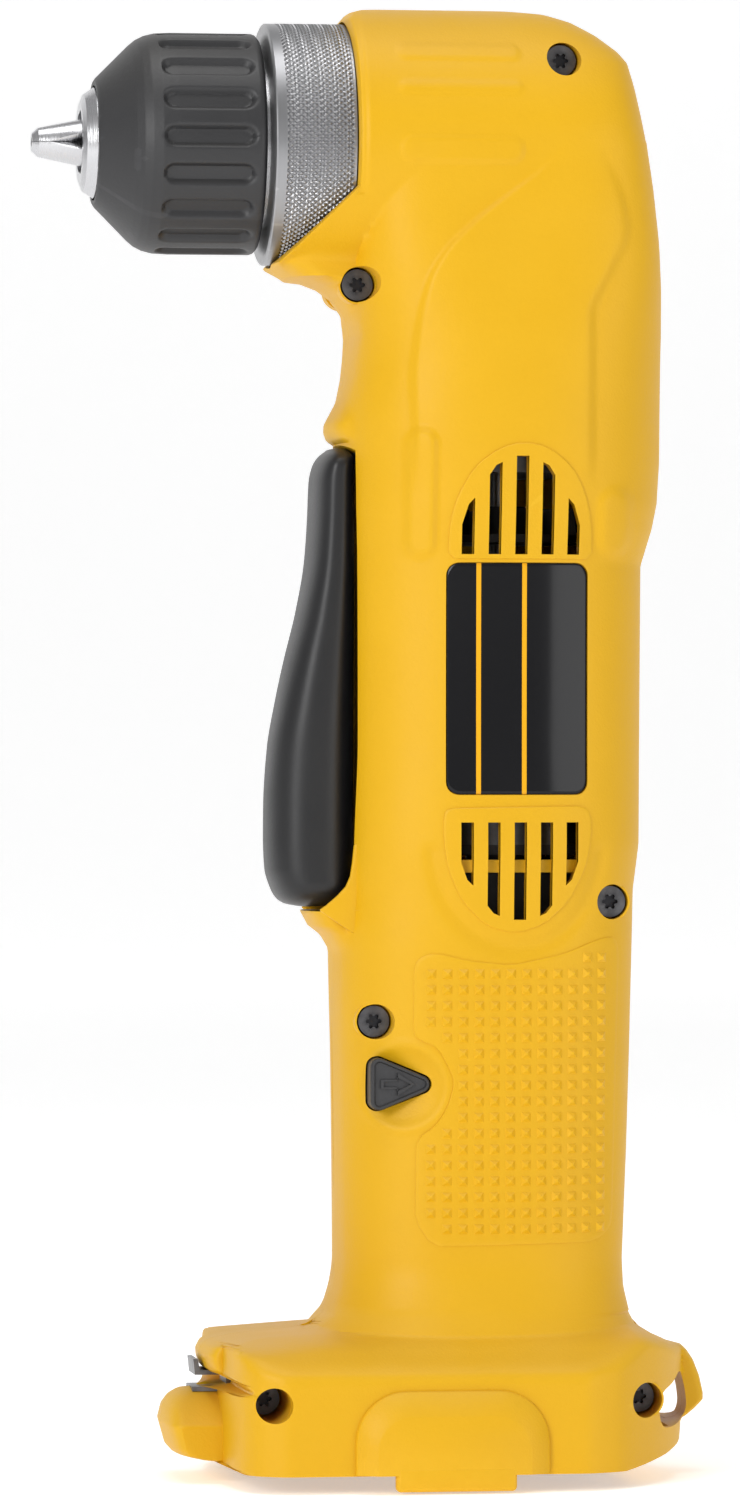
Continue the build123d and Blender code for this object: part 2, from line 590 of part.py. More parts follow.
def magnets():
    """Two arc magnets glued in the can."""
    ring = tube_z(CAN_R - 1.25, 15.1, 121.0, 157.0, MOTOR_X)
    return [ring & block(MOTOR_X - 30, MOTOR_X + 30, *sorted((s * 4.5, s * 30)), 100, 180) for s in (-1, 1)]


def armature_core():
    """Laminated stack with twelve winding slots."""
    core = cyl_z(14.6, 125.0, 154.0) - cyl_z(2.0, 100, 200)
    for k in range(12):
        a = math.radians(30 * k + 15)
        slot = Pos(11.2 * math.cos(a), 11.2 * math.sin(a), 140) * Rot(0, 0, 30 * k + 15) * Box(5.6, 2.6, 60)
        mouth = Pos(14.4 * math.cos(a), 14.4 * math.sin(a), 140) * Rot(0, 0, 30 * k + 15) * Box(3.0, 1.0, 60)
        core -= slot + mouth
    return Pos(MOTOR_X, 0, 0) * core


def armature_windings():
    """Copper coils: twelve slot sides joined by the two end turns."""
    coil = tube_z(13.4, 4.6, 154.05, 158.6) + tube_z(13.4, 5.8, 120.2, 124.95)
    for k in range(12):
        a = math.radians(30 * k + 15)
        coil += Pos(11.1 * math.cos(a), 11.1 * math.sin(a), 139.5) * Rot(0, 0, 30 * k + 15) * Box(4.4, 2.2, 30.4)
    return Pos(MOTOR_X, 0, 0) * coil


def commutator():
    """Copper commutator with twelve bars."""
    drum = tube_z(5.2, 2.0, 113.4, 119.8)
    for k in range(12):
        drum -= Rot(0, 0, 30 * k) * Pos(5.2, 0, 116) * Box(1.0, 0.35, 10)
    return Pos(MOTOR_X, 0, 0) * drum


def end_bell():
    """Plastic brush plate that closes the bottom of the can."""
    x = MOTOR_X
    plate = cyl_z(CAN_R, 110.2, 112.0, x) + tube_z(CAN_R - 1.25, 16.0, 112.0, 115.0, x)
    plate += cyl_z(6.0, 107.4, 110.2, x)
    return plate - cyl_z(4.0, 108.4, 120, x) - cyl_z(2.3, 100, 120, x)


def brush_gear():
    """Carbon brushes, their brass boxes and the springs behind them."""
    x = MOTOR_X
    brushes, boxes, springs = [], [], []
    for s in (-1, 1):
        brushes.append(block(*sorted((x + s * 5.25, x + s * 11.0)), -2.0, 2.0, 114.2, 118.2))
        box = block(*sorted((x + s * 6.6, x + s * 15.6)), -2.6, 2.6, 113.6, 118.8)
        boxes.append(box - block(*sorted((x + s * 5, x + s * 15.0)), -2.05, 2.05, 114.15, 118.25))
        springs.append(cyl_x(1.5, *sorted((x + s * 11.05, x + s * 14.95)), 0, 116.2))
    return brushes, boxes, springs


def cooling_fan():
    """Fan on the motor shaft: hub, disc and nine vanes."""
    fan = tube_z(4.6, 2.0, 165.4, 172.0) + tube_z(15.6, 3.0, 165.4, 166.8)
    for k in range(9):
        fan += Rot(0, 0, 40 * k) * Pos(10.4, 0, 169.0) * Rot(0, 0, 18) * Box(9.6, 1.0, 5.0)
    return Pos(MOTOR_X, 0, 0) * fan


def motor_shaft():
    """Steel shaft through armature, fan and sun gear."""
    return cyl_z(2.0, 108.9, 188.6, MOTOR_X)


def bush(z0, z1, r_out):
    """Sintered bush round the motor shaft."""
    return tube_z(r_out, 2.03, z0, z1, MOTOR_X)


# ---------------------------------------------------------------- planet carrier
def carrier():
    """Carrier plate above the planets, with the stem of the bevel pinion."""
    plate = cyl_z(14.6, 188.6, 191.6) + cyl_z(4.4, 191.6, 197.6) + cyl_z(2.8, 197.6, AXIS_Z - CROWN_R * 0.72 - 1.0)
    plate += cyl_z(4.4, 197.6, AXIS_Z - CROWN_R - 3.02)
    for k in range(3):
        a = math.radians(120 * k)
        plate -= cyl_z(1.6, 180, 195, PLANET_ORBIT * math.cos(a), PLANET_ORBIT * math.sin(a))
    return Pos(MOTOR_X, 0, 0) * plate


def planet_pins():
    """Three steel pins pressed in the carrier."""
    return [cyl_z(1.6, 180.4, 191.6, MOTOR_X + PLANET_ORBIT * math.cos(a), PLANET_ORBIT * math.sin(a))
            for a in (math.radians(120 * k) for k in range(3))]


def planet(k):
    """One planet gear with running clearance on its pin."""
    a = math.radians(120 * k)
    return spur(PLANET, *PLANET_Z, 1.64, MOTOR_X + PLANET_ORBIT * math.cos(a), PLANET_ORBIT * math.sin(a), 120 * k)


# ---------------------------------------------------------------- paddle and switch


def paddle():
    """Long grip lever: a channel, thin at the pivot and full at the lower end."""
    slices = []
    for y, inset in ((-PADDLE_HALF, 3.2), (-10.2, 1.0), (-7.6, 0.0), (7.6, 0.0), (10.2, 1.0), (PADDLE_HALF, 3.2)):
        middle = 142.0
        front = [(x + inset, z - inset * 0.6 * (z - middle) / 40.0) for x, z in PADDLE_FRONT]
        slices.append(make_face(Polyline([(x, y, z) for x, z in front + PADDLE_BACK], close=True)))
    body = loft(slices, ruled=True)
    hollow = [(-6.4, 178.0), (-7.6, 175.6), (-8.0, 163.0), (-10.2, 153.0), (-13.2, 140.0), (-15.0, 128.0),
              (-15.6, 119.0), (-15.2, 109.6), (-13.6, 106.6), (-8.0, 106.6), (0, 106.6), (0, 177.6)]
    body -= side_prism(hollow, PADDLE_HALF - 2.4)
    body += block(-14.4, -4.6, -2.2, 2.2, 103.6, 107.0)
    body += cyl_y(2.9, -8.8, 8.8, *PADDLE_PIVOT)
    return body - cyl_y(1.55, -20, 20, *PADDLE_PIVOT)


def paddle_pin():
    """Steel pivot pin, held by both shells."""
    return cyl_y(1.5, -14.2, 14.2, *PADDLE_PIVOT)


def switch_body():
    """Variable speed switch module."""
    body = block(10.0, 36.0, -9.0, 9.0, 64.6, 106.8)
    body = fillet(body.edges().filter_by(Axis.Y), 1.2)
    return body - cyl_x(2.05, 0, 18, 0, PLUNGER_Z) - block(9, 14.0, -6.4, 6.4, 67.2, 72.8)


def plunger():
    """Push rod from the paddle into the switch."""
    return cyl_x(2.0, -4.0, 11.6, 0, PLUNGER_Z)


def direction_button():
    """Push-through button with a triangular cap on each side and a slot for the selector."""
    x, z = BUTTON
    bar = button_prism(0.0, 19.6)
    waist = block(x - 6, x + 7, -14.0, 14.0, z - 6, z + 6) - block(x - 3.2, x + 3.6, -15, 15, z - 2.0, z + 2.0)
    return bar - waist - block(x - 0.4, x + 8, -1.1, 1.1, z - 5, z + 5)


def selector_arm():
    """Forward and reverse arm of the switch, moved by the button."""
    arm = block(3.4, 13.2, -0.9, 0.9, 69.0, 71.0)
    return arm + cyl_z(1.8, 67.6, 72.4, 12.0)


def heat_sink():
    """Aluminium plate on the side of the switch."""
    plate = block(12.0, 33.0, 9.05, 10.4, 74.0, 103.0)
    for k in range(4):
        plate += block(13.5 + 5.6 * k, 15.0 + 5.6 * k, 10.4, 12.6, 74.0, 103.0)
    return plate


# ---------------------------------------------------------------- battery contacts
def contact_block():
    """Terminal block at the top of the battery well."""
    body = block(6.0, 34.0, -11.0, 11.0, 56.0, 60.0) + block(8.0, 32.0, -9.0, 9.0, 60.0, 63.4)
    for x in CONTACTS:
        body -= block(x - 0.4, x + 0.4, -3.2, 3.2, 50, 70)
    return body


def contact_blades():
    """Three blades that the battery's terminals slide on."""
    return [block(x - 0.38, x + 0.38, -3.15, 3.15, 46.0, 63.2) for x in CONTACTS]


def lead(points, radius=1.0):
    """Insulated wire swept through points with round corners as large as its runs allow."""
    vectors = [Vector(*p) for p in points]
    radii = []
    for a, b, c in zip(vectors, vectors[1:], vectors[2:]):
        turn = math.radians((b - a).get_angle(c - b))
        radii.append(0.45 * min((b - a).length, (c - b).length) / math.tan(turn / 2))
    path = FilletPolyline(*points, radius=radii)
    start = Plane(origin=path @ 0, z_dir=path % 0)
    return sweep(start * Circle(radius), path)


# ---------------------------------------------------------------- bit clip and name plates
def bit_clip():
    """Sprung clip that holds a driver bit in the front slot of the foot."""
    profile = [(-32.2, 15.3), (-25.9, 15.3), (-25.3, 15.9), (-25.3, 18.4), (-25.9, 19.0), (-30.8, 19.0),
               (-31.2, 21.0), (-32.0, 21.0), (-31.7, 18.2), (-26.2, 18.2), (-26.1, 16.1), (-32.2, 16.1)]
    return side_prism(profile, 4.6)


def name_plate(side):
    """Blank printed plate in its recess."""
    plate = plate_band(0.68, 0.06, side)
    return plate


# ---------------------------------------------------------------- build and write
def build():
    """Every sub-part by node name."""
    outer, inner = outside(), inside()
    parts = {"left_shell": shell(-1, outer, inner)}
    parts["right_shell"] = shell(1, mirror(outer, about=Plane.XZ), mirror(inner, about=Plane.XZ))
    parts["shell_screws"] = shell_screws()
    parts["left_name_plate"] = name_plate(-1)
    parts["right_name_plate"] = name_plate(1)
    parts["bit_clip"] = bit_clip()

    parts["gear_case"] = gear_case()
    parts["gear_case_cover"] = gear_case_cover()
    parts["ring_gear"] = ring_gear()
    parts["sun_gear"] = spur(SUN, 179.8, 188.4, 2.0, MOTOR_X)
    for k in range(3):
        parts[f"planet_gear_{k + 1}"] = planet(k)
    parts["planet_pins"] = planet_pins()
    parts["planet_carrier"] = carrier()
    inner_race, outer_race, balls = ball_bearing(4.43, 9.5, 7.4, 9, 1.3)
    seat = Pos(MOTOR_X, 0, 197.8)
    parts["pinion_bearing"] = [seat * inner_race.solid(), seat * outer_race.solid()] + [seat * b for b in balls]
    parts["bevel_pinion"] = bevel_pinion()
    parts["crown_gear"] = crown_gear()
    parts["spindle"] = spindle()
    seat = Pos(3.0, 0, AXIS_Z) * Rot(0, 90, 0)
    inner_race, outer_race, balls = ball_bearing(6.0, 14.0, 8.0, 9, 2.3)
    parts["spindle_bearing_inner_race"] = seat * inner_race
    parts["spindle_bearing_outer_race"] = seat * outer_race
    parts["spindle_bearing_balls"] = [seat * b for b in balls]
    parts["spindle_rear_bush"] = tube_x(7.5, 4.04, 33.4, 37.0)

    parts["chuck_body"] = chuck_body()
    parts["chuck_screw"] = chuck_screw()
    parts["chuck_knurled_ring"] = chuck_ring()
    parts["chuck_sleeve"] = chuck_sleeve()
    parts["chuck_nut"] = chuck_nut()
    for k, roll in enumerate(JAW_ROLLS):
        parts[f"chuck_jaw_{k + 1}"] = jaw(roll)

    parts["motor_can"] = motor_can()
    parts["motor_magnets"] = magnets()
    parts["motor_end_bell"] = end_bell()
    parts["motor_upper_bush"] = bush(158.8, 163.0, 4.95)
    parts["motor_lower_bush"] = bush(108.5, 112.4, 3.95)
    parts["armature_core"] = armature_core()
    parts["armature_windings"] = armature_windings()
    parts["commutator"] = commutator()
    parts["motor_shaft"] = motor_shaft()
    parts["cooling_fan"] = cooling_fan()
    parts["carbon_brushes"], parts["brush_boxes"], parts["brush_springs"] = brush_gear()

    parts["trigger_paddle"] = paddle()
    parts["paddle_pin"] = paddle_pin()
    parts["switch_body"] = switch_body()
    parts["switch_plunger"] = plunger()
    parts["heat_sink"] = heat_sink()
    parts["direction_button"] = direction_button()
    parts["selector_arm"] = selector_arm()
    parts["contact_block"] = contact_block()
    parts["contact_blades"] = contact_blades()
    for name, points in LEADS.items():
        parts[name] = lead(points)
    return parts


def write(parts):
    """One STEP file for each node."""
    os.makedirs("parts", exist_ok=True)
    for name, shape in parts.items():
        solids = [s for item in (shape if isinstance(shape, list) else [shape]) for s in item.solids()]
        whole = Compound(solids) if len(solids) > 1 else solids[0]
        export_step(whole, f"parts/{name}.step")


write(build())
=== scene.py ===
"""Right-angle cordless drill: the finished look of its housing, controls and chuck over the fixed frame."""
import json
import logging
import math
from dataclasses import dataclass, field
from enum import Enum
from typing import Optional, Sequence

import bmesh
import bpy
import numpy as np
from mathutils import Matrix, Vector


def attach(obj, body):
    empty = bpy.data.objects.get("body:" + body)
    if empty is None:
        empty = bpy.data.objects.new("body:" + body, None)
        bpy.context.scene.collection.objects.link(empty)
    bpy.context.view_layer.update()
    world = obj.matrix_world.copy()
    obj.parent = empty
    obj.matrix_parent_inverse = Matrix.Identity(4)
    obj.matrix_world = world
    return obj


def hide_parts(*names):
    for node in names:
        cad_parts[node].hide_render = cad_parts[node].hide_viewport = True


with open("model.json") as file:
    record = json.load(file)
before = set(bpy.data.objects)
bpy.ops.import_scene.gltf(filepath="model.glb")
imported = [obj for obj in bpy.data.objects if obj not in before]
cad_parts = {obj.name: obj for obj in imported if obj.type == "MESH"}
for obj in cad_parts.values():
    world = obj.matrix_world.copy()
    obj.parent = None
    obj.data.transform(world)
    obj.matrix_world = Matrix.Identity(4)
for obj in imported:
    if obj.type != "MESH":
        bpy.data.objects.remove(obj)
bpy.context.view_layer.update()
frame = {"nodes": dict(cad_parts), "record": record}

log = logging.getLogger("drill")
Array = np.ndarray
MM = 0.001


# ------------------------------------------------------------------ curves and small formulas
def through(at: Array, table: Sequence[tuple[float, float]]) -> Array:
    """Monotone cubic through a table: Hermite spans whose end slopes are harmonic means of the chords.

    Args:
        at: places to read the curve at.
        table: (place, value) pairs, places rising.

    Returns:
        The curve's values, held constant past both ends.
    """
    xs, ys = np.array(table, float).T
    step = np.diff(xs)
    chord = np.diff(ys) / step
    slope = np.zeros_like(xs)
    slope[0], slope[-1] = chord[0], chord[-1]
    a, b = chord[:-1], chord[1:]
    rising = a * b > 1e-12
    w1, w2 = 2 * step[1:] + step[:-1], step[1:] + 2 * step[:-1]
    safe_a, safe_b = np.where(rising, a, 1.0), np.where(rising, b, 1.0)
    slope[1:-1] = np.where(rising, (w1 + w2) / (w1 / safe_a + w2 / safe_b), 0.0)
    at = np.clip(at, xs[0], xs[-1])
    k = np.clip(np.searchsorted(xs, at, side="right") - 1, 0, len(step) - 1)
    t = (at - xs[k]) / step[k]
    return (ys[k] * (2 * t**3 - 3 * t**2 + 1) + slope[k] * step[k] * (t**3 - 2 * t**2 + t)
            + ys[k + 1] * (3 * t**2 - 2 * t**3) + slope[k + 1] * step[k] * (t**3 - t**2))


def ease(t: Array) -> Array:
    """Smooth step: 3t squared less 2t cubed, with t held between 0 and 1."""
    t = np.clip(t, 0.0, 1.0)
    return t * t * (3 - 2 * t)


def rounded(t: Array, power: float = 2.0) -> Array:
    """Quarter of a superellipse: rises from 0 at t = 0 to 1 at t = 1 and stays there."""
    return (1 - (1 - np.clip(t, 0.0, 1.0)) ** power) ** (1 / power)


def blend_max(a: Array, b: Array, soft: float) -> Array:
    """Larger of two heights with the crease between them filled over a width of soft."""
    k = np.minimum(soft, 0.5 * np.minimum(a, b)) + 1e-9
    d = np.maximum(k - np.abs(a - b), 0) / k
    return np.maximum(a, b) + d * d * k / 4


def blend_min(a: Array, b: Array, soft: float) -> Array:
    """Smaller of two heights with the edge between them rounded over a width of soft."""
    d = np.maximum(soft - np.abs(a - b), 0) / soft
    return np.minimum(a, b) - d * d * soft / 4


def pill(x: Array, z: Array, x0: float, x1: float, z0: float, z1: float, soft: float) -> Array:
    """1 inside a round-cornered bar, 0 outside, soft border, from the distance to its core line or box."""
    r = min(x1 - x0, z1 - z0) / 2
    dx = np.maximum(np.abs(x - (x0 + x1) / 2) - (x1 - x0) / 2 + r, 0)
    dz = np.maximum(np.abs(z - (z0 + z1) / 2) - (z1 - z0) / 2 + r, 0)
    return ease((r - np.hypot(dx, dz)) / soft)


def soften(points: Sequence[tuple[float, float]], rounds: int = 2, spacing: float = 0.45) -> Array:
    """Closed outline with its corners cut (each edge split at a quarter from both ends) and evenly respaced.

    Args:
        points: corners in order.
        rounds: how many times the corners are cut.
        spacing: distance between the points given back.

    Returns:
        (n, 2) points round the outline, counter-clockwise.
    """
    p = np.array(points, float)
    if np.sum(p[:, 0] * np.roll(p[:, 1], -1) - p[:, 1] * np.roll(p[:, 0], -1)) < 0:
        p = p[::-1]
    for _ in range(rounds):
        q = np.roll(p, -1, axis=0)
        reach = np.linalg.norm(q - p, axis=1, keepdims=True)
        cut = np.minimum(0.25, 1.2 / np.maximum(reach, 1e-9))
        p = np.stack([p + (q - p) * cut, q + (p - q) * cut], axis=1).reshape(-1, 2)
    closed = np.vstack([p, p[:1]])
    run = np.concatenate([[0], np.cumsum(np.linalg.norm(np.diff(closed, axis=0), axis=1))])
    n = max(12, int(run[-1] / spacing))
    s = np.linspace(0, run[-1], n, endpoint=False)
    return np.stack([np.interp(s, run, closed[:, 0]), np.interp(s, run, closed[:, 1])], axis=1)


# ------------------------------------------------------------------ mesh making
@dataclass
class Solid:
    """Points in millimetres and faces of any number of corners, gathered before they become a mesh."""

    points: list[Array] = field(default_factory=list)
    faces: list[Sequence[int]] = field(default_factory=list)
    count: int = 0

    def add(self, points: Array, faces: Sequence[Sequence[int]]) -> "Solid":
        """Adds points and the faces that join them, counted from the first of these points."""
        self.points.append(np.asarray(points, float).reshape(-1, 3))
        base = self.count
        self.faces += [[i + base for i in f] for f in faces]
        self.count += len(self.points[-1])
        return self

    def add_grid(self, grid: Array, wrap_rows: bool = False, wrap_columns: bool = False,
                 flip: bool = False) -> "Solid":
        """Adds a (rows, columns, 3) grid as quads, joined end to end where a wrap is asked for."""
        rows, columns = grid.shape[:2]
        r = np.arange(rows if wrap_rows else rows - 1)
        c = np.arange(columns if wrap_columns else columns - 1)
        r, c = np.meshgrid(r, c, indexing="ij")
        r1, c1 = (r + 1) % rows, (c + 1) % columns
        quads = np.stack([r * columns + c, r * columns + c1, r1 * columns + c1, r1 * columns + c], axis=-1)
        if flip:
            quads = quads[..., ::-1]
        return self.add(grid, quads.reshape(-1, 4).tolist())

    def mesh(self, name: str) -> bpy.types.Object:
        """Makes the object: doubles merged, normals made to point outwards."""
        data = bpy.data.meshes.new(name)
        data.from_pydata((np.vstack(self.points) * MM).tolist(), [], self.faces)
        work = bmesh.new()
        work.from_mesh(data)
        bmesh.ops.remove_doubles(work, verts=work.verts, dist=2e-6)
        bmesh.ops.dissolve_degenerate(work, edges=work.edges, dist=1e-6)
        bmesh.ops.recalc_face_normals(work, faces=work.faces)
        work.to_mesh(data)
        work.free()
        item = bpy.data.objects.new(name, data)
        bpy.context.scene.collection.objects.link(item)
        return item


def shade(item: bpy.types.Object, angle: float = 32.0) -> bpy.types.Object:
    """Smooth shading with edges sharper than the angle kept crisp."""
    item.data.polygons.foreach_set("use_smooth", np.ones(len(item.data.polygons), bool))
    item.data.set_sharp_from_angle(angle=math.radians(angle))
    return item


def bake_modifiers(item: bpy.types.Object) -> None:
    """Replaces the mesh by what its modifiers make of it, and takes them off."""
    seen = item.evaluated_get(bpy.context.evaluated_depsgraph_get())
    data = bpy.data.meshes.new_from_object(seen)
    item.modifiers.clear()
    item.data = data


def cut(item: bpy.types.Object, cutter: bpy.types.Object) -> None:
    """Takes one closed solid away from another and drops the cutter."""
    step = item.modifiers.new("cut", "BOOLEAN")
    step.operation, step.solver, step.object = "DIFFERENCE", "EXACT", cutter
    bpy.context.view_layer.update()
    bake_modifiers(item)
    bpy.data.objects.remove(cutter)


def bevel(item: bpy.types.Object, width_mm: float, segments: int = 3, angle: float = 35.0) -> None:
    """Rounds every edge sharper than the angle."""
    step = item.modifiers.new("edges", "BEVEL")
    step.width, step.segments = width_mm * MM, segments
    step.limit_method, step.angle_limit = "ANGLE", math.radians(angle)
    step.harden_normals = False
    bake_modifiers(item)


def prism(solid: Solid, outline: Array, y0: float, y1: float) -> Solid:
    """Adds a closed prism: an outline in X and Z carried from y0 to y1."""
    n = len(outline)
    ends = [np.column_stack([outline[:, 0], np.full(n, y), outline[:, 1]]) for y in (y0, y1)]
    sides = [[k, (k + 1) % n, n + (k + 1) % n, n + k] for k in range(n)]
    return solid.add(np.vstack(ends), sides + [list(range(n))[::-1], list(range(n, 2 * n))])


def ring_of(x: float, z: float, rx: float, rz: float, n: int = 40) -> Array:
    """Ellipse of n points about (x, z)."""
    a = np.linspace(0, 2 * math.pi, n, endpoint=False)
    return np.column_stack([x + rx * np.cos(a), z + rz * np.sin(a)])


def turned_y(solid: Solid, x: float, z: float, profile: Sequence[tuple[float, float]], n: int = 40) -> Solid:
    """Adds a closed shape turned about a line along Y: each (radius, y) of the profile goes in a circle."""
    r, y = np.array(profile, float).T
    a = np.linspace(0, 2 * math.pi, n, endpoint=False)
    r = r[:, None]
    grid = np.stack([x + r * np.cos(a), np.repeat(y[:, None], n, 1), z + r * np.sin(a)], axis=-1)
    return solid.add_grid(grid, wrap_columns=True)


# ------------------------------------------------------------------ finishes
class Grain(Enum):
    """How a surface's fine texture runs."""

    ERODED = "eroded"
    SATIN = "satin"
    TURNED_X = "turned_x"
    TURNED_Z = "turned_z"
    CAST = "cast"
    PLAIN = "plain"


GRAIN_STRETCH: dict[Grain, tuple[float, float, float]] = {
    Grain.ERODED: (1, 1, 1), Grain.SATIN: (1, 1, 1), Grain.TURNED_X: (9, 0.35, 0.35),
    Grain.TURNED_Z: (0.35, 0.35, 9), Grain.CAST: (0.6, 0.6, 0.6), Grain.PLAIN: (1, 1, 1)}


def socket_group(name: str, inputs: dict[str, tuple[str, object]], outputs: dict[str, str]
                 ) -> tuple[bpy.types.NodeTree, bpy.types.Node, bpy.types.Node]:
    """Starts a shader node group with named sockets.

    Args:
        name: the group's name.
        inputs: socket name to (socket type, default value or None).
        outputs: socket name to socket type.

    Returns:
        The group with its input node and output node.
    """
    tree = bpy.data.node_groups.new(name, "ShaderNodeTree")
    for label, (kind, value) in inputs.items():
        made = tree.interface.new_socket(label, in_out="INPUT", socket_type=kind)
        if value is not None:
            made.default_value = value
    for label, kind in outputs.items():
        tree.interface.new_socket(label, in_out="OUTPUT", socket_type=kind)
    return tree, tree.nodes.new("NodeGroupInput"), tree.nodes.new("NodeGroupOutput")


def math_node(tree: bpy.types.NodeTree, operation: str, a: object, b: object = None, clamp: bool = False
              ) -> bpy.types.NodeSocket:
    """Adds one Math node fed by sockets or numbers and gives its result."""
    node = tree.nodes.new("ShaderNodeMath")
    node.operation, node.use_clamp = operation, clamp
    for slot, value in zip(node.inputs, (a, b)):
        if isinstance(value, bpy.types.NodeSocket):
            tree.links.new(value, slot)
        elif value is not None:
            slot.default_value = value
    return node.outputs[0]


def mix_colours(tree: bpy.types.NodeTree, factor: bpy.types.NodeSocket, a: object, b: object
                ) -> bpy.types.NodeSocket:
    """Adds a colour Mix node and gives its result."""
    node = tree.nodes.new("ShaderNodeMix")
    node.data_type = "RGBA"
    tree.links.new(factor, node.inputs["Factor"])
    for slot, value in zip((node.inputs[6], node.inputs[7]), (a, b)):
        if isinstance(value, bpy.types.NodeSocket):
            tree.links.new(value, slot)
        else:
            slot.default_value = value
    return node.outputs[2]


@dataclass
class SurfaceEffects:
    """The shader node groups that every finish shares, built once."""

    grain: Optional[bpy.types.NodeTree] = None
    wear: Optional[bpy.types.NodeTree] = None
    dust: Optional[bpy.types.NodeTree] = None
    stripes: Optional[bpy.types.NodeTree] = None

    def build(self) -> "SurfaceEffects":
        """Makes the groups for grain, edge wear, dust and painted stripes."""
        self.grain = self._grain()
        self.wear = self._wear()
        self.dust = self._dust()
        self.stripes = self._stripes()
        return self

    def _grain(self) -> bpy.types.NodeTree:
        """Fine pits and soft blotches: Height for bump, Blotch for colour, Roughness round a middle value."""
        tree, start, end = socket_group(
            "fine_grain", {"Vector": ("NodeSocketVector", None), "Scale": ("NodeSocketFloat", 2200.0),
                           "Roughness": ("NodeSocketFloat", 0.5), "Spread": ("NodeSocketFloat", 0.1)},
            {"Height": "NodeSocketFloat", "Blotch": "NodeSocketFloat", "Roughness": "NodeSocketFloat"})
        links = tree.links
        fine = tree.nodes.new("ShaderNodeTexNoise")
        fine.inputs["Detail"].default_value = 2.5
        fine.inputs["Roughness"].default_value = 0.65
        pits = tree.nodes.new("ShaderNodeTexVoronoi")
        pits.feature = "SMOOTH_F1"
        broad = tree.nodes.new("ShaderNodeTexNoise")
        broad.inputs["Detail"].default_value = 3.0
        for node in (fine, pits, broad):
            links.new(start.outputs["Vector"], node.inputs["Vector"])
        links.new(start.outputs["Scale"], fine.inputs["Scale"])
        links.new(math_node(tree, "MULTIPLY", start.outputs["Scale"], 0.6), pits.inputs["Scale"])
        links.new(math_node(tree, "MULTIPLY", start.outputs["Scale"], 0.035), broad.inputs["Scale"])
        deeper = math_node(tree, "ADD", pits.outputs["Distance"], 0.5)
        height = math_node(tree, "MULTIPLY", fine.outputs["Fac"], deeper)
        links.new(height, end.inputs["Height"])
        links.new(broad.outputs["Fac"], end.inputs["Blotch"])
        swing = math_node(tree, "SUBTRACT", math_node(tree, "MULTIPLY", broad.outputs["Fac"], 1.2),
                          math_node(tree, "MULTIPLY", fine.outputs["Fac"], 0.8))
        rough = math_node(tree, "ADD", start.outputs["Roughness"],
                          math_node(tree, "MULTIPLY", swing, start.outputs["Spread"]), clamp=True)
        links.new(rough, end.inputs["Roughness"])
        return tree

    def _wear(self) -> bpy.types.NodeTree:
        """Outer edges rubbed to another colour where the surface bends most, broken up by noise."""
        tree, start, end = socket_group(
            "edge_wear", {"Vector": ("NodeSocketVector", None), "Colour": ("NodeSocketColor", (1, 1, 1, 1)),
                          "Worn": ("NodeSocketColor", (1, 1, 1, 1)), "Amount": ("NodeSocketFloat", 0.4)},
            {"Colour": "NodeSocketColor", "Mask": "NodeSocketFloat"})
        form = tree.nodes.new("ShaderNodeNewGeometry")
        noise = tree.nodes.new("ShaderNodeTexNoise")
        noise.inputs["Scale"].default_value = 420.0
        tree.links.new(start.outputs["Vector"], noise.inputs["Vector"])
        bent = math_node(tree, "SUBTRACT", form.outputs["Pointiness"], 0.515)
        sharp = math_node(tree, "MULTIPLY", bent, 14.0, True)
        mask = math_node(tree, "MULTIPLY", math_node(tree, "MULTIPLY", sharp, noise.outputs["Fac"]),
                         start.outputs["Amount"], True)
        tree.links.new(mask, end.inputs["Mask"])
        mixed = mix_colours(tree, mask, start.outputs["Colour"], start.outputs["Worn"])
        tree.links.new(mixed, end.inputs["Colour"])
        return tree

    def _dust(self) -> bpy.types.NodeTree:
        """A faint pale film on faces that look up, thicker in patches."""
        tree, start, end = socket_group(
            "settled_dust",
            {"Vector": ("NodeSocketVector", None), "Colour": ("NodeSocketColor", (1, 1, 1, 1)),
             "Film": ("NodeSocketColor", (0.9, 0.85, 0.75, 1)), "Amount": ("NodeSocketFloat", 0.1)},
            {"Colour": "NodeSocketColor"})
        form = tree.nodes.new("ShaderNodeNewGeometry")
        parts = tree.nodes.new("ShaderNodeSeparateXYZ")
        noise = tree.nodes.new("ShaderNodeTexNoise")
        noise.inputs["Scale"].default_value = 60.0
        tree.links.new(form.outputs["Normal"], parts.inputs[0])
        tree.links.new(start.outputs["Vector"], noise.inputs["Vector"])
        up = math_node(tree, "MULTIPLY", math_node(tree, "SUBTRACT", parts.outputs["Z"], 0.15), 1.3, True)
        mask = math_node(tree, "MULTIPLY", math_node(tree, "MULTIPLY", up, noise.outputs["Fac"]),
                         start.outputs["Amount"], True)
        mixed = mix_colours(tree, mask, start.outputs["Colour"], start.outputs["Film"])
        tree.links.new(mixed, end.inputs["Colour"])
        return tree

    def _stripes(self) -> bpy.types.NodeTree:
        """Two thin upright bands at given distances along X: 1 on a band, 0 off it."""
        tree, start, end = socket_group(
            "painted_stripes",
            {"Vector": ("NodeSocketVector", None), "First": ("NodeSocketFloat", 0.0161),
             "Second": ("NodeSocketFloat", 0.0242), "Half width": ("NodeSocketFloat", 0.00042)},
            {"Mask": "NodeSocketFloat"})
        parts = tree.nodes.new("ShaderNodeSeparateXYZ")
        tree.links.new(start.outputs["Vector"], parts.inputs[0])
        near = [math_node(tree, "LESS_THAN", math_node(tree, "ABSOLUTE", math_node(
            tree, "SUBTRACT", parts.outputs["X"], start.outputs[label])), start.outputs["Half width"])
            for label in ("First", "Second")]
        tree.links.new(math_node(tree, "MAXIMUM", near[0], near[1]), end.inputs["Mask"])
        return tree


